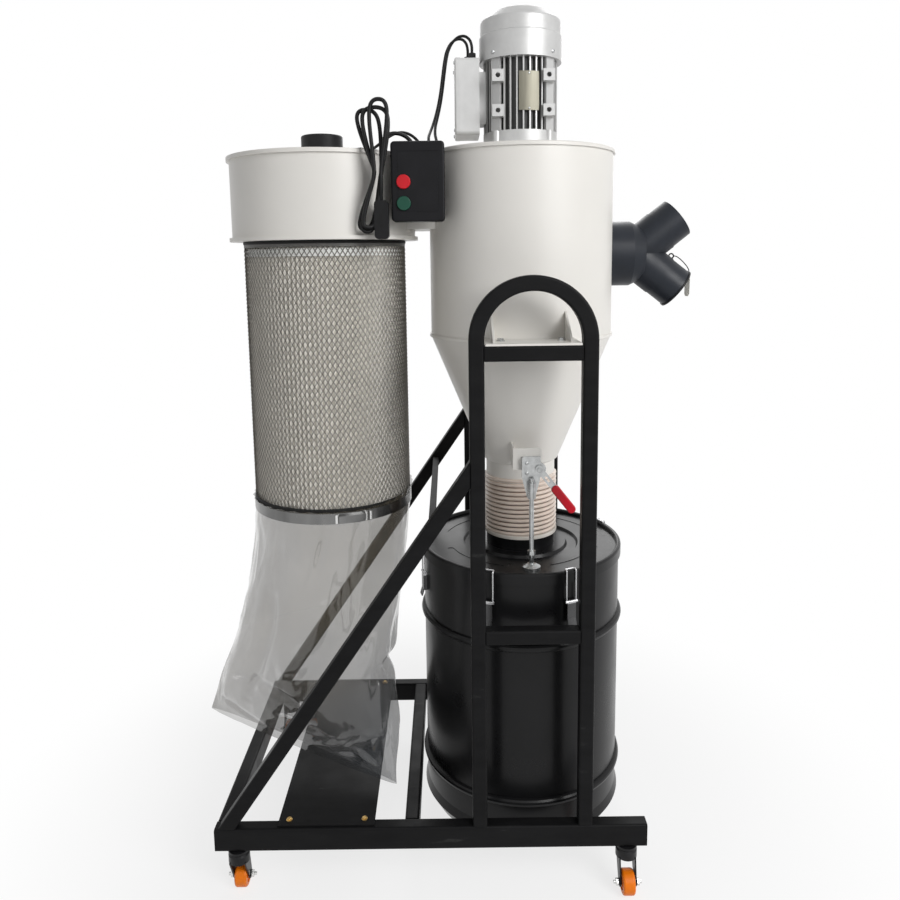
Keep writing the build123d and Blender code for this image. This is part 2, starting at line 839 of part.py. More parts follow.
with BuildPart() as filter_knob:
    with BuildSketch(Plane(origin=(filter_x, 0, can_top))):
        Circle(knob_r)
    extrude(amount=knob_height)
    fillet(filter_knob.faces().sort_by(Axis.Z)[-1].edges(), knob_round)
keep(filter_knob, "filter_knob")

# Cartridge: a core tube with an end ring at top and bottom, wrapped in pleated media
pleat_top = can_bottom - top_ring
pleat_bottom = cartridge_bottom + bottom_ring
media_in = pleat_r - pleat_depth - media_wall
keep(lathe(filter_x, [
    (core_r, cartridge_bottom),
    (end_ring_r, cartridge_bottom),
    (end_ring_r, pleat_bottom),
    (media_in - seat, pleat_bottom),
    (media_in - seat, pleat_top),
    (end_ring_r, pleat_top),
    (end_ring_r, can_bottom),
    (core_r, can_bottom),
]), "filter_cartridge")

pleat_points = []
for fold in range(2 * pleats):
    radius = pleat_r - (fold % 2) * pleat_depth
    angle = radians(fold * 180 / pleats)
    pleat_points.append((radius * cos(angle), radius * sin(angle)))
with BuildPart() as filter_pleats:
    with BuildSketch(Plane(origin=(filter_x, 0, pleat_bottom))):
        with BuildLine():
            Polyline(*pleat_points, close=True)
        make_face()
        Circle(media_in, mode=Mode.SUBTRACT)
    extrude(amount=pleat_top - pleat_bottom)
keep(filter_pleats, "filter_pleats")

# Band clamp with its latch round the cartridge's bottom ring
band_in = end_ring_r + seat
latch_out = Vector(cos(radians(band_latch_angle)), sin(radians(band_latch_angle)), 0)
band_mid = Vector(filter_x, 0, cartridge_bottom + band_width / 2)
with BuildPart() as bag_clamp:
    with BuildSketch(Plane(origin=(filter_x, 0, cartridge_bottom))):
        Circle(band_in + band_thickness)
        Circle(band_in, mode=Mode.SUBTRACT)
    extrude(amount=band_width)
    with BuildSketch(Plane(origin=band_mid + latch_out * (band_in + band_thickness / 2),
                           x_dir=(-latch_out.Y, latch_out.X, 0), z_dir=latch_out)):
        RectangleRounded(band_lever_length, band_lever_width, band_lever_width / 4)
    extrude(amount=band_lever_height)
keep(bag_clamp, "bag_clamp")

# Dust bag: round at the clamp, then ovals that flatten towards the foot
bag_top = Vector(filter_x, 0, cartridge_bottom - bag_gap)
bag_drop = bag_top.Z - base_top - plate_thickness - bag_lift
with BuildPart() as dust_bag:
    with BuildSketch(Plane(origin=bag_top)):
        Circle(end_ring_r)
    for left, right, half_depth in bag_ovals:
        left_edge = bag_top + Vector(left[0], left[1], -left[2] * bag_drop)
        right_edge = bag_top + Vector(right[0], right[1], -right[2] * bag_drop)
        run = right_edge - left_edge
        level = Vector(-run.Y, run.X, 0)
        with BuildSketch(Plane(origin=left_edge + run * 0.5, x_dir=run, z_dir=run.cross(level))):
            Ellipse(run.length / 2, half_depth)
    loft()
keep(dust_bag, "dust_bag")

# Motor: flange and bell on the deck, finned body with foot pads, fan cowl with vents
with BuildPart() as motor_mount:
    add(lathe(cyclone_x, [
        (0, deck),
        (motor_flange_r, deck),
        (motor_flange_r, deck + motor_flange),
        (motor_bell_r, deck + motor_flange + motor_bell_slope),
        (motor_bell_r, motor_body_bottom),
        (0, motor_body_bottom),
    ]).part)
    with BuildSketch(Plane(origin=(cyclone_x, 0, deck))):
        with PolarLocations(lug_circle_r, 4, start_angle=45):
            Circle(lug_r)
    extrude(amount=motor_bell_height)
keep(motor_mount, "motor_flange")

with BuildPart() as motor_body:
    with BuildSketch(Plane(origin=(cyclone_x, 0, motor_body_bottom))):
        Circle(motor_core_r)
        for fin in range(fins):
            fin_angle = fin * 360 / fins
            if abs(fin_angle % 90 - 45) > rib_clear:
                with PolarLocations((motor_core_r + fin_r - fin_root) / 2, 1, start_angle=fin_angle):
                    Rectangle(fin_r - motor_core_r + fin_root, fin_thickness)
        with PolarLocations((motor_core_r + rib_r - fin_root) / 2, 4, start_angle=45):
            Rectangle(rib_r - motor_core_r + fin_root, rib_width)
    extrude(amount=motor_body_height)
    for height in pad_heights:
        for x in (-pad_x, pad_x):
            with BuildSketch(Plane(origin=(cyclone_x + x, -fin_r - pad_face, motor_body_bottom + height),
                                   x_dir=(1, 0, 0), z_dir=(0, -1, 0))):
                Rectangle(pad_side, pad_side)
                Circle(pad_hole_r, mode=Mode.SUBTRACT)
            extrude(amount=-pad_root)
keep(motor_body, "motor_body")

with BuildPart() as motor_cowl:
    add(lathe(cyclone_x, [
        (0, motor_body_top),
        (cowl_r, motor_body_top),
        (cowl_r, motor_body_top + cowl_seam),
        (cowl_upper_r, motor_body_top + cowl_seam + cowl_r - cowl_upper_r),
        (cowl_upper_r, motor_body_top + cowl_wall - cowl_round),
        (cowl_upper_r - cowl_round / 3, motor_body_top + cowl_wall),
        (cowl_crown_r, motor_top - cowl_round),
        (cowl_crown_r - 2 * cowl_round, motor_top),
        (0, motor_top),
    ]).part)
    with BuildSketch(Plane(origin=(cyclone_x, 0, motor_top))):
        with PolarLocations(vent_circle_r, vents):
            SlotOverall(vent_length, vent_width)
    extrude(amount=-vent_depth, mode=Mode.SUBTRACT)
keep(motor_cowl, "motor_cowl")

# Terminal box on the motor's left side, with its lid
box_z = (box_bottom + box_top) / 2
box_height = box_top - box_bottom
with BuildPart() as terminal_box:
    with BuildSketch(Plane(origin=(cyclone_x - box_right, 0, box_z), x_dir=(0, -1, 0), z_dir=(-1, 0, 0))):
        RectangleRounded(2 * box_half_depth, box_height, box_corner)
    extrude(amount=box_left - box_right - box_lid)
    with BuildSketch(Plane(origin=(cyclone_x - box_left + box_lid, 0, box_z), x_dir=(0, -1, 0),
                           z_dir=(-1, 0, 0))):
        RectangleRounded(2 * (box_half_depth + box_lid_step), box_height, box_corner)
    extrude(amount=box_lid)
    fillet(terminal_box.faces().sort_by(Axis.X)[0].edges(), box_corner / 2)
    with BuildSketch(end_plane(cyclone_x - box_right, 0, box_z)):
        Rectangle(box_half_depth, box_height - 2 * box_neck_inset)
    extrude(amount=box_right - motor_core_r)
    with BuildSketch(Plane(origin=(cyclone_x, 0, box_bottom))):
        Circle(fin_r + seat)
    extrude(amount=box_height, mode=Mode.SUBTRACT)
keep(terminal_box, "terminal_box")

# Switch box on a pedestal in front of the duct, with its two buttons
button_x = switch_x - button_offset
stop_z = switch_bottom + stop_height
start_z = switch_bottom + start_height
with BuildPart() as switch_box:
    with BuildSketch(side_plane(switch_x, -switch_split)):
        with Locations((0, switch_bottom + switch_height / 2)):
            RectangleRounded(switch_width, switch_height, switch_round)
    extrude(amount=switch_depth)
    fillet(switch_box.faces().sort_by(Axis.Y)[0].edges(), switch_edge)
    with BuildSketch(side_plane(switch_x, -switch_back)):
        with Locations((0, (switch_bottom + switch_edge + switch_rear_top) / 2)):
            Rectangle(2 * rear_half_width, switch_rear_top - switch_bottom - switch_edge)
    extrude(amount=switch_rear_depth)
    with BuildSketch(side_plane(switch_x, -duct_half_width)):
        with Locations((0, duct_bottom + duct_height / 2)):
            Rectangle(pedestal_width, pedestal_height)
    extrude(amount=switch_back - duct_half_width)
    with BuildSketch(side_plane(switch_x, -switch_front)):
        with Locations((0, switch_bottom + switch_height / 2)):
            Rectangle(*switch_frame)
            Rectangle(switch_frame[0] - 2 * switch_frame_line, switch_frame[1] - 2 * switch_frame_line,
                      mode=Mode.SUBTRACT)
    extrude(amount=-switch_frame_depth, mode=Mode.SUBTRACT)
    for z in (stop_z, start_z):
        with BuildSketch(side_plane(button_x, -switch_front)):
            with Locations((0, z)):
                Circle(button_r + button_gap)
        extrude(amount=-2 * button_sink, mode=Mode.SUBTRACT)
keep(switch_box, "switch_box")
for z, name in ((stop_z, "stop_button"), (start_z, "start_button")):
    with BuildPart() as button:
        with BuildSketch(side_plane(button_x, -switch_front + button_sink)):
            with Locations((0, z)):
                Circle(button_r)
        extrude(amount=button_sink + button_height)
        fillet(button.faces().sort_by(Axis.Y)[0].edges(), button_round)
    keep(button, name)

# Toggle clamp: bracket on the cone, body with rod guide, handle with grip, plunger with foot
cone_slope = (barrel_r - cone_outlet_r) / (joint_z - joint_flange - cone_bottom)
back_y = clamp_y + clamp_standoff
bracket_x = clamp_x - clamp_bracket_shift
cone_face = cone_outlet_r + seat
with BuildPart() as clamp_bracket:
    with BuildSketch(end_plane(bracket_x - clamp_bracket_width / 2)):
        with BuildLine():
            Polyline((back_y, bracket_bottom), (-clamp_bracket_root, bracket_bottom),
                     (-clamp_bracket_root, bracket_top), (back_y, bracket_top), close=True)
        make_face()
    extrude(amount=bracket_plate)
    with BuildSketch(side_plane(bracket_x, back_y)):
        with Locations((0, (bracket_bottom + bracket_top) / 2)):
            RectangleRounded(clamp_bracket_width, clamp_bracket_height, clamp_bracket_corner)
    extrude(amount=-bracket_plate)
    with BuildSketch(side_plane(cyclone_x)):
        with BuildLine():
            Polyline((0, cone_bottom), (cone_face, cone_bottom),
                     (cone_face + cone_slope * cone_height, joint_z), (0, joint_z), close=True)
        make_face()
    revolve(axis=upright(cyclone_x), mode=Mode.SUBTRACT)
keep(clamp_bracket, "clamp_bracket")

plate_front = back_y - clamp_plate
with BuildPart() as clamp_body:
    with BuildSketch(side_plane(clamp_x, back_y)):
        with BuildLine():
            Polyline((-clamp_half_width, clamp_top), (clamp_half_width, clamp_top),
                     (clamp_half_width, clamp_bottom + clamp_taper), (guide_r, clamp_bottom),
                     (-guide_r, clamp_bottom), (-clamp_half_width, clamp_bottom + clamp_taper), close=True)
        make_face()
        with Locations((pivot_dx, pivot_z)):
            Circle(pivot_boss_r)
    extrude(amount=clamp_plate)
    with BuildSketch(Plane(origin=(clamp_x - clamp_half_width, back_y, clamp_bottom + clamp_taper))):
        Rectangle(clamp_flange, clamp_flange_depth, align=(Align.MIN, Align.MAX))
    extrude(amount=clamp_height - clamp_taper)
    with BuildSketch(Plane(origin=(clamp_x, clamp_y, clamp_bottom))):
        Circle(guide_r)
        Rectangle(1.4 * guide_r, clamp_standoff - clamp_plate, align=(Align.CENTER, Align.MIN))
        Circle(rod_r + running, mode=Mode.SUBTRACT)
    extrude(amount=guide_length)
    with BuildSketch(side_plane(pivot_x, plate_front)):
        with Locations((0, pivot_z)):
            Circle(pin_r)
    extrude(amount=pin_reach)
keep(clamp_body, "clamp_body")

arm_dir = Vector(cos(radians(handle_angle)), 0, sin(radians(handle_angle)))
handle_plane = Plane(origin=(pivot_x, plate_front - handle_gap, pivot_z), x_dir=arm_dir, z_dir=(0, -1, 0))
tang_length = handle_length - grip_start - grip_inset
tang_x = grip_start + tang_length / 2
with BuildPart() as clamp_handle:
    with BuildSketch(handle_plane):
        Circle(handle_arm_width / 2 + handle_eye)
        with Locations((grip_start / 2, 0)):
            Rectangle(grip_start, handle_arm_width)
        with Locations((tang_x, 0)):
            Rectangle(tang_length, handle_tang_width)
        with Locations((handle_slot_x, 0)):
            SlotOverall(handle_slot, handle_slot_width, mode=Mode.SUBTRACT)
        Circle(pin_r + running, mode=Mode.SUBTRACT)
    extrude(amount=handle_thickness)
keep(clamp_handle, "clamp_handle")
with BuildPart() as clamp_grip:
    with BuildSketch(handle_plane.offset(handle_thickness / 2 - grip_thickness / 2)):
        with Locations(((handle_length + grip_start) / 2, 0)):
            SlotOverall(handle_length - grip_start, grip_width)
    extrude(amount=grip_thickness)
    fillet(clamp_grip.faces().sort_by(Axis.Y)[0].edges(), grip_round)
    fillet(clamp_grip.faces().sort_by(Axis.Y)[-1].edges(), grip_round)
    with BuildSketch(handle_plane.offset(-seat)):
        with Locations((tang_x, 0)):
            Rectangle(tang_length + 2 * seat, handle_tang_width + 2 * seat)
    extrude(amount=handle_thickness + 2 * seat, mode=Mode.SUBTRACT)
keep(clamp_grip, "clamp_grip")

foot_bottom = lid_flat + seat
rod_bottom = foot_bottom + foot_height
with BuildPart() as clamp_plunger:
    add(lathe(clamp_x, [
        (0, foot_bottom),
        (foot_r, foot_bottom),
        (foot_r, rod_bottom),
        (foot_neck_r, rod_bottom + foot_cone),
        (rod_r, rod_bottom + foot_cone),
        (rod_r, guide_top + rod_end),
        (0, guide_top + rod_end),
    ], clamp_y).part)
    with BuildSketch(Plane(origin=(clamp_x, clamp_y, rod_bottom + nut_height))):
        RegularPolygon(nut_r, 6)
    extrude(amount=nut_thickness)
keep(clamp_plunger, "clamp_plunger")

# Glands where the cords leave the switch box and the terminal box
gland_y = -(switch_split + switch_back) / 2
gland_top = switch_rear_top + gland_height
switch_ends = [Vector(switch_x + gland_first + gland_pitch * n, gland_y, gland_top) for n in range(4)]
box_ends = [Vector(cyclone_x + x, y, box_top + box_gland_height) for x, y in box_glands]
with BuildPart() as cable_glands:
    for end in switch_ends:
        with BuildSketch(Plane(origin=(end.X, end.Y, switch_rear_top))):
            Circle(gland_r)
        with BuildSketch(Plane(origin=end)):
            Circle(gland_end_r)
        loft()
    for end in box_ends:
        with BuildSketch(Plane(origin=(end.X, end.Y, box_top))):
            RegularPolygon(box_gland_r, 6)
        extrude(amount=box_gland_height)
keep(cable_glands, "cable_glands")

# Mains cord from the switch box to its hank, with the plug hanging under the hank
mains_start = switch_ends[0]
mains_steps = [(0, 0, 0), (0, 0, 15), (-5, -0.5, 29), (-16, -3.5, 40), (-30, -10.5, 45), (-44, -20.5, 44),
               (-56, -33.5, 37), (-64, -47.5, 27), (-69, -59.5, 13)]
keep(cord_tube(route_from(mains_start, mains_steps), cord_r), "mains_cord")

hank_x = mains_start.X - hank_shift
tie_height = gland_top - hank_drop
hank_outline = [(-8, 0), (-24, 67), (-26, 101), (-6, 123), (14, 129), (26, 107), (24, 63), (8, 0),
                (18, -plug_drop), (-14, -plug_drop), (-14, -123), (-38, -123), (-22, -49)]
with BuildPart() as cord_hank:
    with BuildSketch(side_plane(hank_x, hank_y)):
        with BuildLine():
            Polyline(*[(x, tie_height + z) for x, z in hank_outline], close=True)
        make_face()
    extrude(amount=hank_thickness)
keep(cord_hank, "cord_hank")

with BuildPart() as mains_plug:
    with BuildSketch(side_plane(hank_x + plug_shift, hank_y - plug_proud)):
        with Locations((0, tie_height - plug_drop - plug_length / 2)):
            RectangleRounded(plug_width, plug_length, plug_corner)
    extrude(amount=hank_thickness)
keep(mains_plug, "mains_plug")

# Thin lead from the switch box over to an in-line connector on the filter can
lead_end = Vector(filter_x + connector_x, connector_y, can_top + seat + connector_side / 2)
lead_route = route_from(switch_ends[1], [
    (0, 0, 0), (0, 0, 14), (-5, 2.5, 27), (-15, 6.5, 39), (-28, 12.5, 48), (-43, 19.5, 52), (-58, 27.5, 50),
    (-72, 35.5, 44), (-85, 43.5, 36), (-98, 52.5, 28)])
lead_route += route_from(lead_end, [(16, -10, 0), (0, 0, 0)])
keep(cord_tube(lead_route, lead_r), "control_lead")
with BuildPart() as lead_connector:
    with BuildSketch(Plane(origin=lead_end, x_dir=(0, 0, 1), z_dir=lead_end - lead_route[-2])):
        RectangleRounded(connector_side, connector_side, connector_corner)
    extrude(amount=connector_length)
keep(lead_connector, "lead_connector")

# Motor leads from the terminal box to the switch box, held at both ends
motor_steps = [
    ([(0, 0, 0), (0, 0, 15), (-4, 3, 29), (-15, 7, 38), (-29, 11, 37), (-42, 14, 26), (-51, 16, 9),
      (-56, 16, -15), (-60, 12, -44), (-64, 4, -76), (-69, -10, -108), (-75, -30, -137)],
     [(-6, 58.5, 66), (-6, 34.5, 48), (-3, 15.5, 34), (0, 0, 18), (0, 0, 0)]),
    ([(0, 0, 0), (0, 0, 16), (-3, 3, 30), (-12, 8, 40), (-25, 13, 41), (-38, 16, 32), (-47, 17, 15),
      (-52, 15, -10), (-56, 10, -40), (-60, 0, -71), (-65, -16, -101), (-71, -38, -129)],
     [(5, 80.5, 74), (0, 52.5, 56), (-3, 28.5, 44), (-3, 10.5, 33), (0, 0, 18), (0, 0, 0)]),
]
lead_parts = []
for start, end, (down, across) in zip(box_ends, (switch_ends[3], switch_ends[2]), motor_steps):
    lead_parts.append(cord_tube(route_from(start, down) + route_from(end, across), lead_r).part)
with BuildPart() as motor_leads:
    add(lead_parts)
keep(motor_leads, "motor_leads")
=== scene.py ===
import json
import math

import bmesh
import bpy
from mathutils import Matrix, Vector, noise


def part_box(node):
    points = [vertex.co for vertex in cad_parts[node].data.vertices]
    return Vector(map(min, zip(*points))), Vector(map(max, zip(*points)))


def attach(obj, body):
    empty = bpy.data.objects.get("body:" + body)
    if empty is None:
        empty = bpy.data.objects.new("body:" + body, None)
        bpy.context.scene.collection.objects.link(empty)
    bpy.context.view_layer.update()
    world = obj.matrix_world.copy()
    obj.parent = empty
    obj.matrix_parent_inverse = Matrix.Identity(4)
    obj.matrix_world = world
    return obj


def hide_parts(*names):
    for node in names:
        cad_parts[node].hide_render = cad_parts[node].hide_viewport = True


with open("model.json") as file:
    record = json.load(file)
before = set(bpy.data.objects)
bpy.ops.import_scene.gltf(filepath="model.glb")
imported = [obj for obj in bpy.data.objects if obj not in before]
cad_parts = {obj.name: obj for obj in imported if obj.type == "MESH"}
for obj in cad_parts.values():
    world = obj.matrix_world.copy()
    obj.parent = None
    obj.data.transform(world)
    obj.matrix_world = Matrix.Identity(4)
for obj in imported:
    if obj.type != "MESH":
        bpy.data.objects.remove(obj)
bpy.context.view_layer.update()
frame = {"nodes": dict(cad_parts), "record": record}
nodes = frame["nodes"]

BODY = "frame"
UP = Vector((0, 0, 1))

# Upright axes of the cyclone and the filter. Lengths are in metres throughout
CYCLONE_X = (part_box("cyclone_cone")[0].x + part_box("cyclone_cone")[1].x) / 2
FILTER_X = (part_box("filter_cartridge")[0].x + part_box("filter_cartridge")[1].x) / 2

# Spans over which a finish changes: over the latches' levers, from fin root to fin tip where painted shade
# fills the roots, up the hose where painted shade darkens its lower end, and up the bag, whose span leans,
# where painted shade stands for the dark frame seen through the film
LEVER_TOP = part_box("drum_latches")[0].z + 0.052
LEVER_FADE = (LEVER_TOP - 0.004, LEVER_TOP - 0.002)
FIN_SHADE_SPAN = (0.0692, 0.0786)
HOSE_SHADE_SPAN = (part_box("transfer_hose")[0].z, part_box("transfer_hose")[1].z)
BAG_SHADE_SPAN = (0.08, 0.62)
BAG_SHADE_LEAN = 0.8

# The noise's values lie mostly between these two
NOISE_LOW = 0.3
NOISE_HIGH = 0.7

# The camera stands as high as the inlet and looks slightly down
CAMERA_AT = Vector((0.0085, -1.761, 1.319))
CAMERA_PITCH = 0.1425
CAMERA_ROLL = 0.0131
CAMERA_LENS = 31.32
CAMERA_SENSOR = 36.0
CAMERA_SHIFT_Y = -0.0889


def make_camera():
    """Camera at the photograph's viewing angle."""
    data = bpy.data.cameras.new("camera")
    data.lens = CAMERA_LENS
    data.sensor_width = CAMERA_SENSOR
    data.shift_y = CAMERA_SHIFT_Y
    camera = bpy.data.objects.new("camera", data)
    bpy.context.scene.collection.objects.link(camera)
    level = Vector((1, 0, 0))
    ahead = Vector((0, math.cos(CAMERA_PITCH), -math.sin(CAMERA_PITCH)))
    upward = level.cross(ahead)
    right = level * math.cos(CAMERA_ROLL) - upward * math.sin(CAMERA_ROLL)
    top = level * math.sin(CAMERA_ROLL) + upward * math.cos(CAMERA_ROLL)
    turn = Matrix((right, top, -ahead)).transposed().to_4x4()
    camera.matrix_world = Matrix.Translation(CAMERA_AT) @ turn
    bpy.context.scene.camera = camera


# Materials


class Surface:
    """A procedural material around one Principled shader, with short ways to add detail."""

    def __init__(self, name, color, rough, metallic=0.0, **sockets):
        self.material = bpy.data.materials.new(name)
        self.material.use_nodes = True
        self.tree = self.material.node_tree
        self.shader = self.tree.nodes["Principled BSDF"]
        self.color = color
        self.set("Base Color", (*color, 1.0))
        self.set("Roughness", rough)
        self.set("Metallic", metallic)
        for socket, value in sockets.items():
            self.set(socket.replace("_", " "), value)
        self.normal = None

    def set(self, socket, value):
        self.shader.inputs[socket].default_value = value

    def node(self, kind, **inputs):
        made = self.tree.nodes.new(kind)
        for socket, value in inputs.items():
            made.inputs[socket.replace("_", " ")].default_value = value
        return made

    def link(self, out, into):
        self.tree.links.new(out, into)

    def coords(self, scale=(1, 1, 1)):
        place = self.node("ShaderNodeTexCoord")
        mapping = self.node("ShaderNodeMapping", Scale=scale)
        self.link(place.outputs["Object"], mapping.inputs["Vector"])
        return mapping.outputs["Vector"]

    def noise(self, scale, detail=3.0, roughness=0.55, stretch=(1, 1, 1)):
        made = self.node("ShaderNodeTexNoise", Scale=scale, Detail=detail, Roughness=roughness)
        self.link(self.coords(stretch), made.inputs["Vector"])
        return made.outputs["Fac"]

    def ramp(self, factor, stops):
        made = self.node("ShaderNodeValToRGB")
        made.color_ramp.elements[0].position = stops[0][0]
        made.color_ramp.elements[0].color = (*stops[0][1], 1.0)
        made.color_ramp.elements[1].position = stops[-1][0]
        made.color_ramp.elements[1].color = (*stops[-1][1], 1.0)
        for position, color in stops[1:-1]:
            made.color_ramp.elements.new(position).color = (*color, 1.0)
        self.link(factor, made.inputs["Fac"])
        return made.outputs["Color"]

    def spread(self, factor, low, high):
        """Spread a noise between two values."""
        made = self.node("ShaderNodeMapRange", From_Min=NOISE_LOW, From_Max=NOISE_HIGH,
                         To_Min=low, To_Max=high)
        self.link(factor, made.inputs["Value"])
        return made.outputs["Result"]

    def between(self, value, low, high):
        """Zero where a value is low, one where it is high."""
        made = self.node("ShaderNodeMapRange", From_Min=low, From_Max=high)
        self.link(value, made.inputs["Value"])
        return made.outputs["Result"]

    def height(self):
        """The point's height, in metres."""
        split = self.node("ShaderNodeSeparateXYZ")
        self.link(self.coords(), split.inputs["Vector"])
        return split.outputs["Z"]

    def slant(self, x, lean):
        """The point's height, in metres, raised by a share of how far it lies left of x."""
        flat = self.node("ShaderNodeMapping", Location=(lean * x, 0, 0), Scale=(-lean, 0, 1))
        self.link(self.coords(), flat.inputs["Vector"])
        total = self.node("ShaderNodeVectorMath")
        total.operation = "DOT_PRODUCT"
        self.link(flat.outputs["Vector"], total.inputs[0])
        total.inputs[1].default_value = (1, 1, 1)
        return total.outputs["Value"]

    def from_axis(self, x):
        """The point's distance from the upright axis at x, in metres."""
        flat = self.node("ShaderNodeMapping", Location=(-x, 0, 0), Scale=(1, 1, 0))
        self.link(self.coords(), flat.inputs["Vector"])
        distance = self.node("ShaderNodeVectorMath")
        distance.operation = "LENGTH"
        self.link(flat.outputs["Vector"], distance.inputs[0])
        return distance.outputs["Value"]

    def paint(self, factor, stops):
        """Colour the surface by a factor."""
        self.link(self.ramp(factor, stops), self.shader.inputs["Base Color"])
        return self

    def tint(self, scale, low, high, stretch=(1, 1, 1)):
        """Vary the colour between two shades of it."""
        shades = [tuple(c * share for c in self.color) for share in (low, high)]
        return self.paint(self.noise(scale, 4.0, 0.6, stretch),
                          [(NOISE_LOW, shades[0]), (NOISE_HIGH, shades[1])])

    def wear(self, scale, low, high):
        """Vary the roughness."""
        values = self.spread(self.noise(scale, 5.0, 0.6), low, high)
        self.link(values, self.shader.inputs["Roughness"])
        return self

    def bump(self, scale, strength, distance, stretch=(1, 1, 1)):
        """Add a fine relief on top of what is there."""
        made = self.node("ShaderNodeBump", Strength=strength, Distance=distance)
        self.link(self.noise(scale, 2.0, 0.5, stretch), made.inputs["Height"])
        if self.normal:
            self.link(self.normal, made.inputs["Normal"])
        self.normal = made.outputs["Normal"]
        self.link(self.normal, self.shader.inputs["Normal"])
        return self


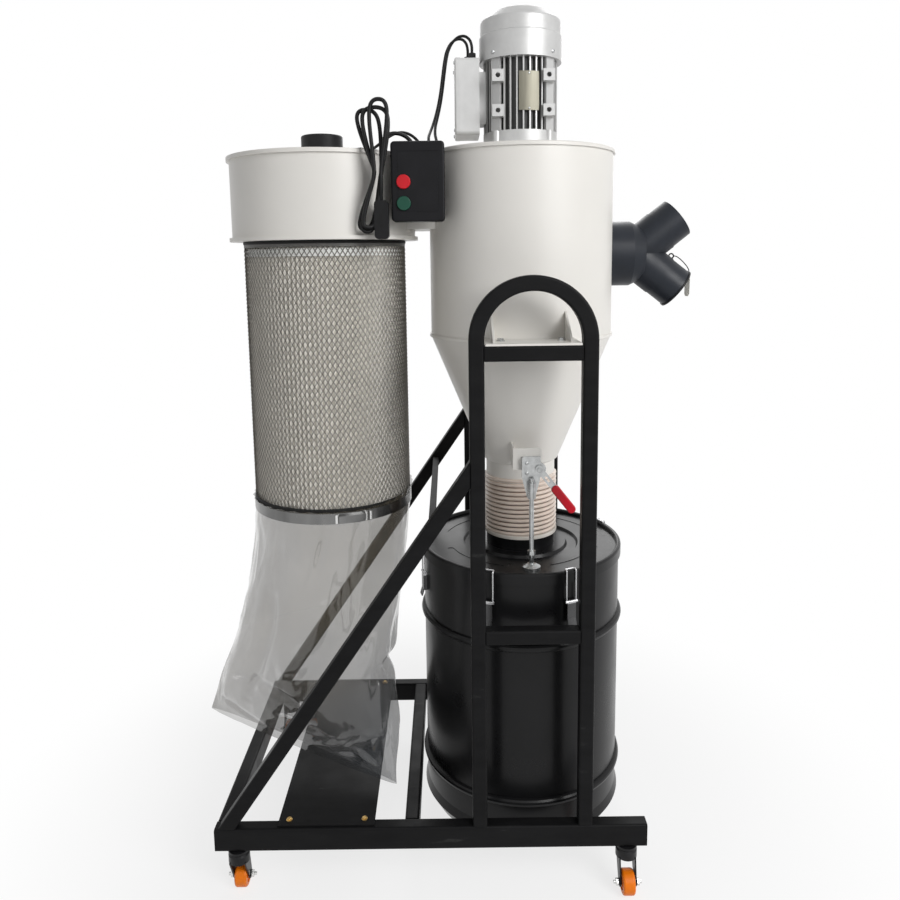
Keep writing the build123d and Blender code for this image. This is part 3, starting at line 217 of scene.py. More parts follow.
def make_materials():
    """Every finish on the machine, by name."""
    made = {}

    def add(name, *args, **sockets):
        made[name] = Surface(name, *args, **sockets)
        return made[name]

    frame_paint = add("frame_black", (0.0065, 0.0065, 0.007), 0.42, Specular_IOR_Level=0.1)
    scuffs = [(0.3, (0.005, 0.005, 0.0054)), (0.64, (0.0095, 0.0095, 0.01)), (0.74, (0.04, 0.04, 0.039))]
    frame_paint.paint(frame_paint.noise(26, 6.0, 0.7, (0.25, 1, 1)), scuffs)
    frame_paint.wear(14, 0.34, 0.54).bump(900, 0.12, 0.0004)
    add("drum_black", (0.006, 0.006, 0.0065), 0.3, Specular_IOR_Level=0.18, Coat_Weight=0.06,
        Coat_Roughness=0.15).tint(6, 0.8, 1.4).wear(7, 0.24, 0.38).bump(260, 0.05, 0.0006)
    add("cream_paint", (0.785, 0.765, 0.725), 0.35).tint(3, 0.97, 1.03).wear(5, 0.3, 0.42).bump(
        420, 0.07, 0.0004)
    add("zinc_steel", (0.48, 0.49, 0.49), 0.28, 1.0).tint(60, 0.75, 1.15).wear(40, 0.2, 0.4).bump(
        700, 0.08, 0.0003)
    latch = add("latch_steel", (0.6, 0.6, 0.61), 0.26, 1.0)
    latch.paint(latch.between(latch.height(), *LEVER_FADE), [(0.0, (0.09, 0.09, 0.092)), (1.0, latch.color)])
    latch.wear(40, 0.2, 0.36).bump(700, 0.08, 0.0003)
    add("brass", (0.62, 0.42, 0.16), 0.3, 1.0).tint(90, 0.8, 1.1).bump(900, 0.08, 0.0002)
    add("band_steel", (0.15, 0.15, 0.148), 0.2, 1.0).tint(7, 0.45, 1.7, (1, 1, 0.2)).wear(30, 0.14, 0.3)
    add("bright_steel", (0.72, 0.72, 0.71), 0.2, 1.0).tint(60, 0.85, 1.1).wear(50, 0.14, 0.3)
    add("tie_steel", (0.045, 0.045, 0.047), 0.6, Specular_IOR_Level=0.1).tint(30, 0.7, 1.2).bump(
        600, 0.1, 0.0004)
    add("motor_silver", (0.56, 0.56, 0.555), 0.4, 0.35).tint(20, 0.9, 1.06).wear(16, 0.32, 0.48).bump(
        520, 0.16, 0.0005)
    # Painted shade: the fins are near black at their roots and full colour at their tips, for the shade between
    # them
    fins_painted_shade = add("motor_fins_painted_shade", (0.58, 0.58, 0.575), 0.42, 0.3)
    fins_painted_shade.paint(fins_painted_shade.between(fins_painted_shade.from_axis(CYCLONE_X), *FIN_SHADE_SPAN),
               [(0.0, (0.045, 0.045, 0.045)), (0.6, (0.16, 0.16, 0.158)), (0.92, fins_painted_shade.color)])
    fins_painted_shade.wear(16, 0.34, 0.5).bump(520, 0.16, 0.0005)
    add("box_silver", (0.66, 0.66, 0.655), 0.44, 0.15).tint(20, 0.93, 1.05).wear(16, 0.36, 0.5).bump(
        520, 0.16, 0.0005)
    add("black_plastic", (0.012, 0.012, 0.013), 0.48, Specular_IOR_Level=0.2).tint(40, 0.8, 1.4).bump(
        1100, 0.12, 0.0003)
    add("switch_black", (0.009, 0.009, 0.0105), 0.4, Specular_IOR_Level=0.15).tint(25, 0.85, 1.3).wear(
        12, 0.34, 0.48).bump(1500, 0.1, 0.0003)
    add("inlet_plastic", (0.013, 0.016, 0.0225), 0.36, Specular_IOR_Level=0.28).tint(
        14, 0.85, 1.25).wear(18, 0.32, 0.5).bump(800, 0.08, 0.0003)
    add("filter_media", (0.88, 0.85, 0.79), 0.9).tint(25, 0.92, 1.03).bump(1400, 0.3, 0.0005)
    add("mesh_steel", (0.24, 0.23, 0.212), 0.5, 1.0).tint(80, 0.8, 1.15)
    add("strip_white", (0.9, 0.9, 0.88), 0.6).tint(40, 0.95, 1.02)
    # Painted shade: the cartridge's end rings are dark grey, standing in for the shade under the gasket
    add("ring_painted_shade", (0.1, 0.098, 0.092), 0.5, 0.3).tint(40, 0.8, 1.2)
    add("gasket_black", (0.012, 0.012, 0.012), 0.65, Specular_IOR_Level=0.2).bump(500, 0.2, 0.0005)
    add("button_red", (0.6, 0.013, 0.022), 0.28, Specular_IOR_Level=0.3).tint(60, 0.92, 1.05).bump(
        1600, 0.05, 0.0002)
    add("button_green", (0.007, 0.066, 0.04), 0.3, Specular_IOR_Level=0.3).tint(60, 0.92, 1.05).bump(
        1600, 0.05, 0.0002)
    add("grip_red", (0.56, 0.007, 0.02), 0.34, Specular_IOR_Level=0.35).tint(50, 0.88, 1.08).bump(
        500, 0.08, 0.0004)
    add("cord_black", (0.008, 0.008, 0.0085), 0.42, Specular_IOR_Level=0.18).tint(70, 0.8, 1.3).bump(
        1300, 0.1, 0.0002)
    add("caster_black", (0.01, 0.01, 0.011), 0.34, Specular_IOR_Level=0.22).tint(40, 0.8, 1.3).bump(
        700, 0.1, 0.0003)
    add("wheel_orange", (0.95, 0.215, 0.003), 0.4, Specular_IOR_Level=0.3).tint(35, 0.9, 1.06).wear(
        30, 0.3, 0.46).bump(700, 0.08, 0.0003)
    # Painted shade: the wall between the ribs is brown at the hose's top and near black at its lower end, for
    # shade
    gap_painted_shade = add("hose_gap_painted_shade", (0.2, 0.13, 0.1), 0.4)
    gap_painted_shade.paint(gap_painted_shade.between(gap_painted_shade.height(), *HOSE_SHADE_SPAN),
              [(0.0, (0.012, 0.01, 0.009)), (0.35, (0.06, 0.04, 0.032)), (1.0, (0.34, 0.24, 0.19))])
    add("hose_rib", (0.76, 0.645, 0.56), 0.26, Coat_Weight=0.3, Coat_Roughness=0.12).tint(
        30, 0.93, 1.06).bump(240, 0.12, 0.0006)
    add("hose_ring", (0.78, 0.74, 0.68), 0.4).tint(30, 0.92, 1.05)
    add("tag_clear", (0.8, 0.78, 0.7), 0.3, Alpha=0.7).tint(60, 0.9, 1.05)
    film = add("clear_film", (0.24, 0.225, 0.2), 0.16, Specular_IOR_Level=0.9, Coat_Weight=1.0,
               Coat_Roughness=0.06)
    film.wear(9, 0.08, 0.22).bump(16, 0.3, 0.005, (1, 1, 0.6)).bump(60, 0.08, 0.001)
    # Painted shade: low down and to the right the film is darker and bluer, standing in for the dark frame seen
    # through it; the noise adds random tone
    see_through_shade_and_tone = film.node("ShaderNodeMath")
    film.link(film.between(film.slant(FILTER_X, BAG_SHADE_LEAN), *BAG_SHADE_SPAN), see_through_shade_and_tone.inputs[0])
    film.link(film.spread(film.noise(3.2, 3.0), -0.3, 0.3), see_through_shade_and_tone.inputs[1])
    film.paint(see_through_shade_and_tone.outputs["Value"],
               [(0.0, (0.066, 0.072, 0.079)), (0.5, (0.088, 0.084, 0.077)), (1.0, (0.16, 0.138, 0.1))])
    film.link(film.spread(film.noise(5.0, 4.0), 0.45, 0.54), film.shader.inputs["Alpha"])
    add("plate_bare", (0.2, 0.19, 0.15), 0.42, 0.6).tint(90, 0.85, 1.12, (1, 1, 0.1)).bump(900, 0.1, 0.0002)
    return {name: surface.material for name, surface in made.items()}


materials = make_materials()

# Nodes whose finish differs from the rest of their material slot
SPECIAL_FINISH = {
    "bag_clamp": "band_steel",
    "caster_stems": "caster_black",
    "drum_latches": "latch_steel",
    "filter_cartridge": "ring_painted_shade",
    "inlet_cap": "black_plastic",
    "motor_body": "motor_fins_painted_shade",
    "terminal_box": "box_silver",
    "transfer_hose": "hose_rib",
}


def dress_cad():
    """Give every carried-over node its finish."""
    for part in frame["record"]["subparts"]:
        piece = nodes[part["node"]]
        finish = SPECIAL_FINISH.get(part["node"], part["material_slot"])
        piece.data.materials.clear()
        piece.data.materials.append(materials[finish])


# Mesh helpers


def add_piece(name, mesh, finish, body=BODY, smooth_angle=40.0):
    """Turn a bmesh into a finished piece that rides on a body."""
    data = bpy.data.meshes.new(name)
    bmesh.ops.recalc_face_normals(mesh, faces=mesh.faces)
    mesh.to_mesh(data)
    mesh.free()
    data.shade_smooth()
    data.set_sharp_from_angle(angle=math.radians(smooth_angle))
    data.materials.append(materials[finish])
    piece = bpy.data.objects.new(name, data)
    bpy.context.scene.collection.objects.link(piece)
    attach(piece, body)
    return piece


def skin_rings(mesh, rings, cap=False):
    """Join closed rings of points with quads. Each ring has as many points as the next."""
    rows = [[mesh.verts.new(point) for point in ring] for ring in rings]
    for low, high in zip(rows, rows[1:]):
        count = len(low)
        for i in range(count):
            j = (i + 1) % count
            mesh.faces.new((low[i], low[j], high[j], high[i]))
    if cap:
        mesh.faces.new(list(reversed(rows[0])))
        mesh.faces.new(rows[-1])


def circle_points(centre, radius, count, across=Vector((1, 0, 0)), along=Vector((0, 1, 0))):
    """Points round a circle that lies in the plane of two directions."""
    steps = [2 * math.pi * i / count for i in range(count)]
    return [centre + across * (radius * math.cos(a)) + along * (radius * math.sin(a)) for a in steps]


def heading(degrees):
    """Level direction at an angle from +X."""
    angle = math.radians(degrees)
    return Vector((math.cos(angle), math.sin(angle), 0))


def band_piece(name, x, profile, finish, count=96, smooth_angle=40.0):
    """Open band about the upright axis at x, from a profile of (radius, height)."""
    mesh = bmesh.new()
    skin_rings(mesh, [circle_points(Vector((x, 0, z)), r, count) for r, z in profile])
    return add_piece(name, mesh, finish, smooth_angle=smooth_angle)


def turned(mesh, centre, axis, profile, count):
    """Turn a profile of (radius, height) about an axis, closed at both ends."""
    axis = Vector(axis).normalized()
    across = axis.orthogonal().normalized()
    along = axis.cross(across)
    rings = [circle_points(Vector(centre) + axis * h, r, count, across, along) for r, h in profile]
    skin_rings(mesh, rings, cap=True)


def bolt(mesh, centre, axis, size):
    """Hexagon head on a washer, size is the head's radius."""
    turned(mesh, centre, axis, [(1.35 * size, 0), (1.35 * size, 0.2 * size), (1.25 * size, 0.26 * size)], 24)
    turned(mesh, centre, axis, [(size, 0.2 * size), (size, 0.75 * size), (0.85 * size, 0.9 * size)], 6)


def screw(mesh, centre, axis, size):
    """Low domed screw head with a shallow socket."""
    profile = [(size, 0), (size, 0.25 * size), (0.8 * size, 0.5 * size), (0.45 * size, 0.6 * size),
               (0.4 * size, 0.35 * size), (0.05 * size, 0.3 * size)]
    turned(mesh, centre, axis, profile, 18)


# Cords


def cord_curve(name, points, radius):
    """One smooth cord whose spline takes the route's points as its control points."""
    data = bpy.data.curves.new(name, "CURVE")
    data.dimensions = "3D"
    data.bevel_depth = radius
    data.bevel_resolution = 4
    data.use_fill_caps = True
    data.resolution_u = 8
    spline = data.splines.new("NURBS")
    spline.points.add(len(points) - 1)
    for control, point in zip(spline.points, points):
        control.co = (*point, 1.0)
    spline.order_u = 3
    spline.use_endpoint_u = True
    data.materials.append(materials["cord_black"])
    piece = bpy.data.objects.new(name, data)
    bpy.context.scene.collection.objects.link(piece)
    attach(piece, BODY)
    return piece


CORD_R = 0.004
LEAD_R = 0.003

# The switch box's glands, and how high the lead meets the connector
GLAND_Y = -0.1285
GLAND_TOP = 1.522
CONNECTOR_MID = 0.0085

# Hank: where the tie holds it, how far apart its strands lie, and the lean, reach and half width of its loops
HANK_X = -0.2945
HANK_TIE_Z = 1.487
HANK_SIDE = 0.0062
HANK_LAYERS = (-0.1805, -0.1890, -0.1975, -0.2060)
UPPER_LOOPS = ((-0.0215, 0.114, 0.020), (-0.004, 0.117, 0.024), (0.004, 0.130, 0.0165))
LOWER_LOOPS = ((-0.030, 0.107, 0.0125), (-0.024, 0.112, 0.012), (-0.020, 0.104, 0.0115))

# One side of a loop from tie to fold, as shares of its reach and half width
LOOP_SHAPE = ((0.22, 0.55), (0.5, 0.85), (0.76, 1.05), (0.94, 1.0), (1.03, 0.5))

# From the hank down into the plug
HANK_TAIL = [
    (CYCLONE_X + HANK_X + 0.0065, -0.2060, 1.468),
    (CYCLONE_X + HANK_X + 0.006, -0.2040, 1.453),
    (CYCLONE_X - 0.290, -0.1990, 1.441),
    (CYCLONE_X - 0.290, -0.1955, 1.432),
]


def hank_loop(lean, reach, half, y_in, y_out, going_up):
    """Control points of one loop of the hank, from the tie out to its fold and back to the tie."""
    sign = 1 if going_up else -1
    points = []
    for rise, spread in LOOP_SHAPE:
        points.append((lean * rise - sign * max(half * spread, HANK_SIDE), y_in, sign * reach * rise))
    for rise, spread in reversed(LOOP_SHAPE):
        points.append((lean * rise + sign * max(half * spread, HANK_SIDE), y_out, sign * reach * rise))
    return [(CYCLONE_X + HANK_X + x, y, HANK_TIE_Z + z) for x, y, z in points]


def hank_points():
    """The cord down through the tie, round its loops layer by layer, and down to the plug."""
    points = [(CYCLONE_X + HANK_X + HANK_SIDE, HANK_LAYERS[0], HANK_TIE_Z)]
    for turn, (upper, lower) in enumerate(zip(UPPER_LOOPS, LOWER_LOOPS)):
        here = HANK_LAYERS[turn]
        after = HANK_LAYERS[turn + 1]
        points += hank_loop(*lower, here, after, False)
        points.append((CYCLONE_X + HANK_X - HANK_SIDE, after, HANK_TIE_Z))
        points += hank_loop(*upper, after, after, True)
        points.append((CYCLONE_X + HANK_X + HANK_SIDE, after, HANK_TIE_Z))
    return points + HANK_TAIL


def make_mains_cord():
    """Mains cord from the switch box over to its hank and plug."""
    route = [
        (CYCLONE_X - 0.226, GLAND_Y, GLAND_TOP),
        (CYCLONE_X - 0.226, GLAND_Y, GLAND_TOP + 0.015),
        (CYCLONE_X - 0.231, -0.129, GLAND_TOP + 0.029),
        (CYCLONE_X - 0.242, -0.132, GLAND_TOP + 0.040),
        (CYCLONE_X - 0.256, -0.139, GLAND_TOP + 0.045),
        (CYCLONE_X - 0.270, -0.149, GLAND_TOP + 0.044),
        (CYCLONE_X - 0.281, -0.161, GLAND_TOP + 0.037),
        (CYCLONE_X - 0.287, -0.172, GLAND_TOP + 0.025),
        (CYCLONE_X - 0.2885, -0.179, GLAND_TOP + 0.008),
        (CYCLONE_X - 0.288, -0.1805, GLAND_TOP - 0.013),
    ]
    cord = cord_curve("mains_lead", route + hank_points(), CORD_R)
    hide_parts("mains_cord", "cord_hank")


def make_control_lead():
    """Thin lead from the switch box to the connector on the filter can."""
    end_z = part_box("lead_connector")[0].z + CONNECTOR_MID
    route = [
        (CYCLONE_X - 0.210, GLAND_Y, GLAND_TOP),
        (CYCLONE_X - 0.210, GLAND_Y, GLAND_TOP + 0.014),
        (CYCLONE_X - 0.215, -0.126, GLAND_TOP + 0.027),
        (CYCLONE_X - 0.225, -0.122, GLAND_TOP + 0.039),
        (CYCLONE_X - 0.238, -0.116, GLAND_TOP + 0.048),
        (CYCLONE_X - 0.253, -0.109, GLAND_TOP + 0.052),
        (CYCLONE_X - 0.268, -0.101, GLAND_TOP + 0.050),
        (CYCLONE_X - 0.282, -0.093, GLAND_TOP + 0.044),
        (CYCLONE_X - 0.295, -0.085, GLAND_TOP + 0.036),
        (CYCLONE_X - 0.308, -0.076, GLAND_TOP + 0.028),
        (CYCLONE_X - 0.322, -0.067, end_z),
        (CYCLONE_X - 0.338, -0.057, end_z),
    ]
    lead = cord_curve("switch_lead", route, LEAD_R)
    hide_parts("control_lead")


# Filter: expanded-metal sleeve over the pleats, set in from the cartridge's ends, the pale strip behind its top
# rows, and the rings above and below it, as (radius, height) from the cartridge's and the band clamp's top
MESH_FOOT = 0.0255
MESH_HEAD = 0.0135
MESH_R = 0.1742
MESH_COLUMNS = 100
MESH_ROW = 0.0086
MESH_WIDTH = 0.0021
MESH_THICK = 0.0007
MESH_TILT = 0.0009
MESH_LEAN = 0.0015
STRIP_R = 0.1733
STRIP_DROPS = (0.003, 0.019)
STRIP_SIDES = 120
GASKET = [(0.1763, -0.007), (0.1769, -0.0065), (0.1774, -0.004), (0.1769, -0.001), (0.1763, -0.0005)]
CUFF_RUBBER = [(0.1761, -0.001), (0.1766, 0.0), (0.1767, 0.006), (0.1760, 0.009), (0.1752, 0.009)]


def make_filter_mesh():
    """Sleeve of flat strands that cross in tall diamonds, and the strip behind it."""
    low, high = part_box("filter_cartridge")
    bottom = low.z + MESH_FOOT
    top = high.z - MESH_HEAD
    rows = round((top - bottom) / MESH_ROW)
    pitch = (top - bottom) / rows
    mesh = bmesh.new()

    def place(column, row, outward):
        angle = 2 * math.pi * column / MESH_COLUMNS
        radius = MESH_R + outward
        return Vector((FILTER_X + radius * math.cos(angle), radius * math.sin(angle), bottom + row * pitch))

    half = MESH_WIDTH / 2
    wide = half / (MESH_R * 2 * math.pi / MESH_COLUMNS)
    for row in range(rows):
        for column in range(MESH_COLUMNS):
            start = column + 0.5 * (row % 2)
            for side in (-0.5, 0.5):
                ends = []
                for c, r, lean in ((start, row, MESH_LEAN), (start + side, row + 1, 0.0)):
                    corners = [(c - wide, lean), (c + wide, lean + MESH_TILT),
                               (c + wide, lean + MESH_TILT - MESH_THICK), (c - wide, lean - MESH_THICK)]
                    ends.append([mesh.verts.new(place(at, r, outward)) for at, outward in corners])
                for i in range(4):
                    j = (i + 1) % 4
                    mesh.faces.new((ends[0][i], ends[0][j], ends[1][j], ends[1][i]))
    add_piece("filter_mesh", mesh, "mesh_steel")
    strip = [(STRIP_R, top - drop) for drop in STRIP_DROPS]
    band_piece("filter_strip", FILTER_X, strip, "strip_white", STRIP_SIDES)


def make_gasket():
    """Soft ring squeezed between the can and the cartridge, and the rubber band in the bag's cuff."""
    for name, node, shape in (("filter_gasket", "filter_cartridge", GASKET),
                              ("cuff_rubber", "bag_clamp", CUFF_RUBBER)):
        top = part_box(node)[1].z
        band_piece(name, FILTER_X, [(r, top + z) for r, z in shape], "gasket_black")


# Hose: turns of its wire, steps in a turn, how deep the wall lies, a rib's radius as a share of its pitch, the
# sides of a rib, and the end ring as (radius, height) from the hose's outside and lower end
HOSE_TURNS = 13
HOSE_STEPS = 72
HOSE_DEPTH = 0.0058
HOSE_RIB = 0.39
HOSE_RIB_SIDES = 14
HOSE_RING = [(-0.0045, -0.0002), (0.0001, -0.0002), (0.0008, 0.004), (0.0001, 0.0078), (-0.0045, 0.0078)]


def make_hose():
    """Wall with a helix of rounded ribs over it and a pale end ring."""
    low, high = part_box("transfer_hose")
    outer = (high.x - low.x) / 2
    sides = [(outer - HOSE_DEPTH, z) for z in (low.z, high.z)]
    wall = band_piece("hose_wall", CYCLONE_X, sides, "hose_gap_painted_shade", smooth_angle=70)
    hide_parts("transfer_hose")
    rib = HOSE_RIB * (high.z - low.z) / HOSE_TURNS
    count = HOSE_TURNS * HOSE_STEPS
    mesh = bmesh.new()
    rings = []
    for i in range(count + 1):
        angle = 2 * math.pi * i / HOSE_STEPS
        out = Vector((math.cos(angle), math.sin(angle), 0))
        height = low.z + rib + (high.z - low.z - 2 * rib) * i / count
        middle = Vector((CYCLONE_X, 0, height)) + out * (outer - rib)
        rings.append(circle_points(middle, rib, HOSE_RIB_SIDES, out, UP))
    skin_rings(mesh, rings, cap=True)
    add_piece("hose_wire", mesh, "hose_rib", smooth_angle=70)
    ring = [(outer + r, low.z + z) for r, z in HOSE_RING]
    band_piece("hose_end_ring", CYCLONE_X, ring, "hose_ring")


# Dust bag: share of its length, left edge, right edge and half depth of each oval, from the filter's axis and
# the clamp's lower edge
BAG_OVALS = [
    (0.0, (-0.1765, 0.0, 0.001), (0.1765, -0.002, 0.001), 0.1765),
    (0.27, (-0.205, 0.0, -0.171), (0.159, -0.025, -0.165), 0.168),
    (0.5, (-0.233, 0.0, -0.295), (0.144, -0.070, -0.315), 0.150),
    (0.69, (-0.274, 0.0, -0.401), (0.131, -0.115, -0.428), 0.105),
    (1.0, (-0.316, 0.0, -0.518), (0.143, -0.178, -0.597), 0.012),
]
BAG_LEAST_DEPTH = 0.004
BAG_ROWS = 170
BAG_COLUMNS = 260

# Folds in the film: start and end as (across, down) shares of half width and drop, how deep each goes and how
# wide it is. All are deepened by one gain, and each rises from a share of its depth at its ends
BAG_FOLDS = [
    ((-0.52, 0.24), (-0.40, 0.40), 0.006, 0.016),
    ((-0.40, 0.40), (-0.48, 0.74), 0.007, 0.014),
    ((-0.46, 0.62), (0.12, 0.68), 0.006, 0.011),
    ((0.06, 0.03), (0.02, 0.18), 0.005, 0.010),
    ((-0.20, 0.55), (0.18, 0.47), -0.008, 0.030),
    ((0.30, 0.20), (0.62, 0.52), 0.005, 0.016),
    ((0.20, 0.95), (0.90, 0.79), -0.008, 0.012),
    ((0.22, 0.96), (0.68, 0.90), 0.008, 0.010),
    ((0.60, 0.86), (0.80, 0.96), -0.008, 0.009),
    ((-0.10, 0.80), (0.40, 0.84), 0.006, 0.014),
    ((-0.80, 0.84), (-0.35, 0.92), 0.005, 0.012),
]
BAG_HALF = 0.20
BAG_DROP = 0.57
FOLD_GAIN = 1.7
FOLD_END = 0.35
FOLD_RISE = 2.6

# Relief of the film: waves, wrinkles, crumples, the pinch and the bulge at its right edge as (height, place
# down the bag, width, power), and how far it is drawn in. Gathers show under the band. Band and seam hold it
# flat
BAG_WAVES = 0.008
BAG_WRINKLES = 0.006
BAG_CRUMPLES = 0.0012
BAG_EDGE = [(-0.020, 0.575, 0.03, 6), (0.014, 0.78, 0.14, 4)]
BAG_INSET = 0.005
BAG_GATHER = 0.0006
GATHER_FROM = 0.04
BAND_HOLD = 0.12
SEAM_FROM = 0.8
SEAM_LENGTH = 0.2
SEAM_HOLD = 0.8
OUT_LEAST_DEPTH = 0.02


def ease(t):
    """Smooth step from zero to one."""
    return t * t * (3 - 2 * t)


def flow(stops, t):
    """Smooth run through numbers given at rising stops."""
    k = max(i for i in range(len(stops) - 1) if stops[i][0] <= t)
    (t1, v1), (t2, v2) = stops[k], stops[k + 1]
    t0, v0 = stops[k - 1] if k else (t1 - (t2 - t1), v1 - (v2 - v1))
    t3, v3 = stops[k + 2] if k + 2 < len(stops) else (t2 + (t2 - t1), v2 + (v2 - v1))
    m1 = (v2 - v0) / (t2 - t0) * (t2 - t1)
    m2 = (v3 - v1) / (t3 - t1) * (t2 - t1)
    u = (t - t1) / (t2 - t1)
    return (v1 * (2 * u**3 - 3 * u**2 + 1) + m1 * (u**3 - 2 * u**2 + u) + v2 * (3 * u**2 - 2 * u**3)
            + m2 * (u**3 - u**2))


def bag_oval(t):
    """Middle, run and half depth of the bag's oval at a share of its length."""
    edges = []
    for side in (1, 2):
        runs = [[(oval[0], oval[side][axis]) for oval in BAG_OVALS] for axis in range(3)]
        edges.append(Vector([flow(stops, t) for stops in runs]))
    depth = max(flow([(oval[0], oval[3]) for oval in BAG_OVALS], t), BAG_LEAST_DEPTH)
    return (edges[0] + edges[1]) / 2, (edges[1] - edges[0]) / 2, depth


def fold_depth(a, t):
    """How far the folds press the film in at one place. The back has the front's folds, turned round."""
    across = math.cos(a) if math.sin(a) < 0 else -math.cos(a)
    here = Vector((across * BAG_HALF, t * BAG_DROP))
    total = 0.0
    for start, end, depth, width in BAG_FOLDS:
        first = Vector((start[0] * BAG_HALF, start[1] * BAG_DROP))
        run = Vector((end[0] * BAG_HALF, end[1] * BAG_DROP)) - first
        share = min(1.0, max(0.0, (here - first).dot(run) / run.length_squared))
        fade = min(1.0, FOLD_END + FOLD_RISE * min(share, 1 - share))
        total += FOLD_GAIN * depth * fade * math.exp(-((here - first - run * share).length / width) ** 2)
    return total


def bag_relief(a, t):
    """How far the film stands out at one place, before band and seam hold it."""
    x, y = math.cos(a), math.sin(a)
    relief = noise.noise(Vector((2.4 * x, 2.4 * y, 3.0 * t))) * BAG_WAVES
    relief += (0.5 - abs(noise.noise(Vector((4.5 * x + 2 * t, 4.5 * y, 5.0 * t))))) * BAG_WRINKLES
    relief += (0.4 - abs(noise.noise(Vector((9.0 * x, 9.0 * y + 3 * t, 9.0 * t))))) * BAG_CRUMPLES
    for height, at, width, power in BAG_EDGE:
        relief += height * math.exp(-((t - at) / width) ** 2) * max(0.0, x) ** power
    return relief - fold_depth(a, t) - BAG_INSET


def make_bag():
    """Film tube that is round under the band, hangs askew and ends in a flat seam."""
    top = Vector((FILTER_X, 0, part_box("bag_clamp")[0].z))
    mesh = bmesh.new()
    rings = []
    for row in range(BAG_ROWS + 1):
        t = row / BAG_ROWS
        middle, run, depth = bag_oval(t)
        half = run.length
        across = run.normalized()
        through = Vector((-across.y, across.x, 0)).normalized()
        hold = ease(min(1.0, t / BAND_HOLD))
        hold *= 1 - SEAM_HOLD * ease(max(0.0, (t - SEAM_FROM) / SEAM_LENGTH))
        ring = []
        for i in range(BAG_COLUMNS):
            a = 2 * math.pi * i / BAG_COLUMNS
            x, y = math.cos(a), math.sin(a)
            point = top + middle + across * (half * x) + through * (depth * y)
            out = (across * (x / half) + through * (y / max(depth, OUT_LEAST_DEPTH))).normalized()
            gather = math.sin(30 * a + 4 * noise.noise(Vector((2 * a, t, 5.0)))) * BAG_GATHER * (1 - t) ** 3
            ring.append(point + out * (bag_relief(a, t) * hold + gather * ease(min(1.0, t / GATHER_FROM))))
        rings.append(ring)
    skin_rings(mesh, rings)
    bag = add_piece("bag_film", mesh, "clear_film", smooth_angle=80)
    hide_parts("dust_bag")


# Cuff of the bag: rows, greatest height, how far it starts below the band's top, radius, flare and wave
CUFF_ROWS = 6
CUFF_TALL = 0.022
CUFF_TUCK = 0.002
CUFF_R = 0.1768
CUFF_FLARE = 0.0042
CUFF_WAVE = 0.0016


def make_cuff():
    """Loose end of the film above the band, tallest on the right."""
    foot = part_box("bag_clamp")[1].z - CUFF_TUCK
    mesh = bmesh.new()
    rings = []
    for row in range(CUFF_ROWS + 1):
        share = row / CUFF_ROWS
        ring = []
        for i in range(BAG_COLUMNS):
            a = 2 * math.pi * i / BAG_COLUMNS
            x, y = math.cos(a), math.sin(a)
            tall = CUFF_TALL * (0.25 + 0.75 * max(0.0, math.cos(a - 0.1 * math.pi)) ** 2)
            wave = CUFF_WAVE * math.sin(34 * a + 3 * noise.noise(Vector((x, y, 2.0))))
            radius = CUFF_R + (CUFF_FLARE + wave) * share
            ring.append(Vector((FILTER_X + radius * x, radius * y, foot + tall * share)))
        rings.append(ring)
    skin_rings(mesh, rings)
    add_piece("bag_cuff", mesh, "clear_film", smooth_angle=80)


# Small hardware: head radius of each bolt and screw, and its place on the piece that it holds
FRONT = Vector((0, -1, 0))
BRACKET_BOLT = 0.0065
BRACKET_BOLT_X = 0.060
BRACKET_BOLT_Y = 0.236
BRACKET_THICK = 0.004
BOX_SCREW = 0.0042
BOX_SCREW_Y = 0.044
BOX_SCREW_EDGE = 0.010
BOX_SCREW_SUNK = 0.0002
COWL_SCREW = 0.0045
COWL_SCREW_UP = 0.012
COWL_SCREW_R = 0.0878
CLAMP_SCREW = 0.0038
CLAMP_SCREW_X = 0.0105
CLAMP_SCREW_SUNK = 0.0005
CLAMP_SCREW_DROPS = (0.014, 0.036)
CLAMP_BOLT = 0.0062
CLAMP_BOLT_X = 0.025
CLAMP_BOLT_Y = 0.0145
CLAMP_BOLT_DROP = 0.027
PLATE_BOLT = 0.0048
PLATE_BOLT_X = 0.022
PLATE_BOLT_Y = 0.018

# Nut and pin at an axle's end, as (radius, height) outward from the fork, and how far the nut is sunk
AXLE_NUT = [(0.0074, 0), (0.0074, 0.0042), (0.0064, 0.0052)]
AXLE_NUT_SUNK = 0.0026
AXLE_PIN = [(0.0036, 0.003), (0.0036, 0.0070), (0.0031, 0.0075)]


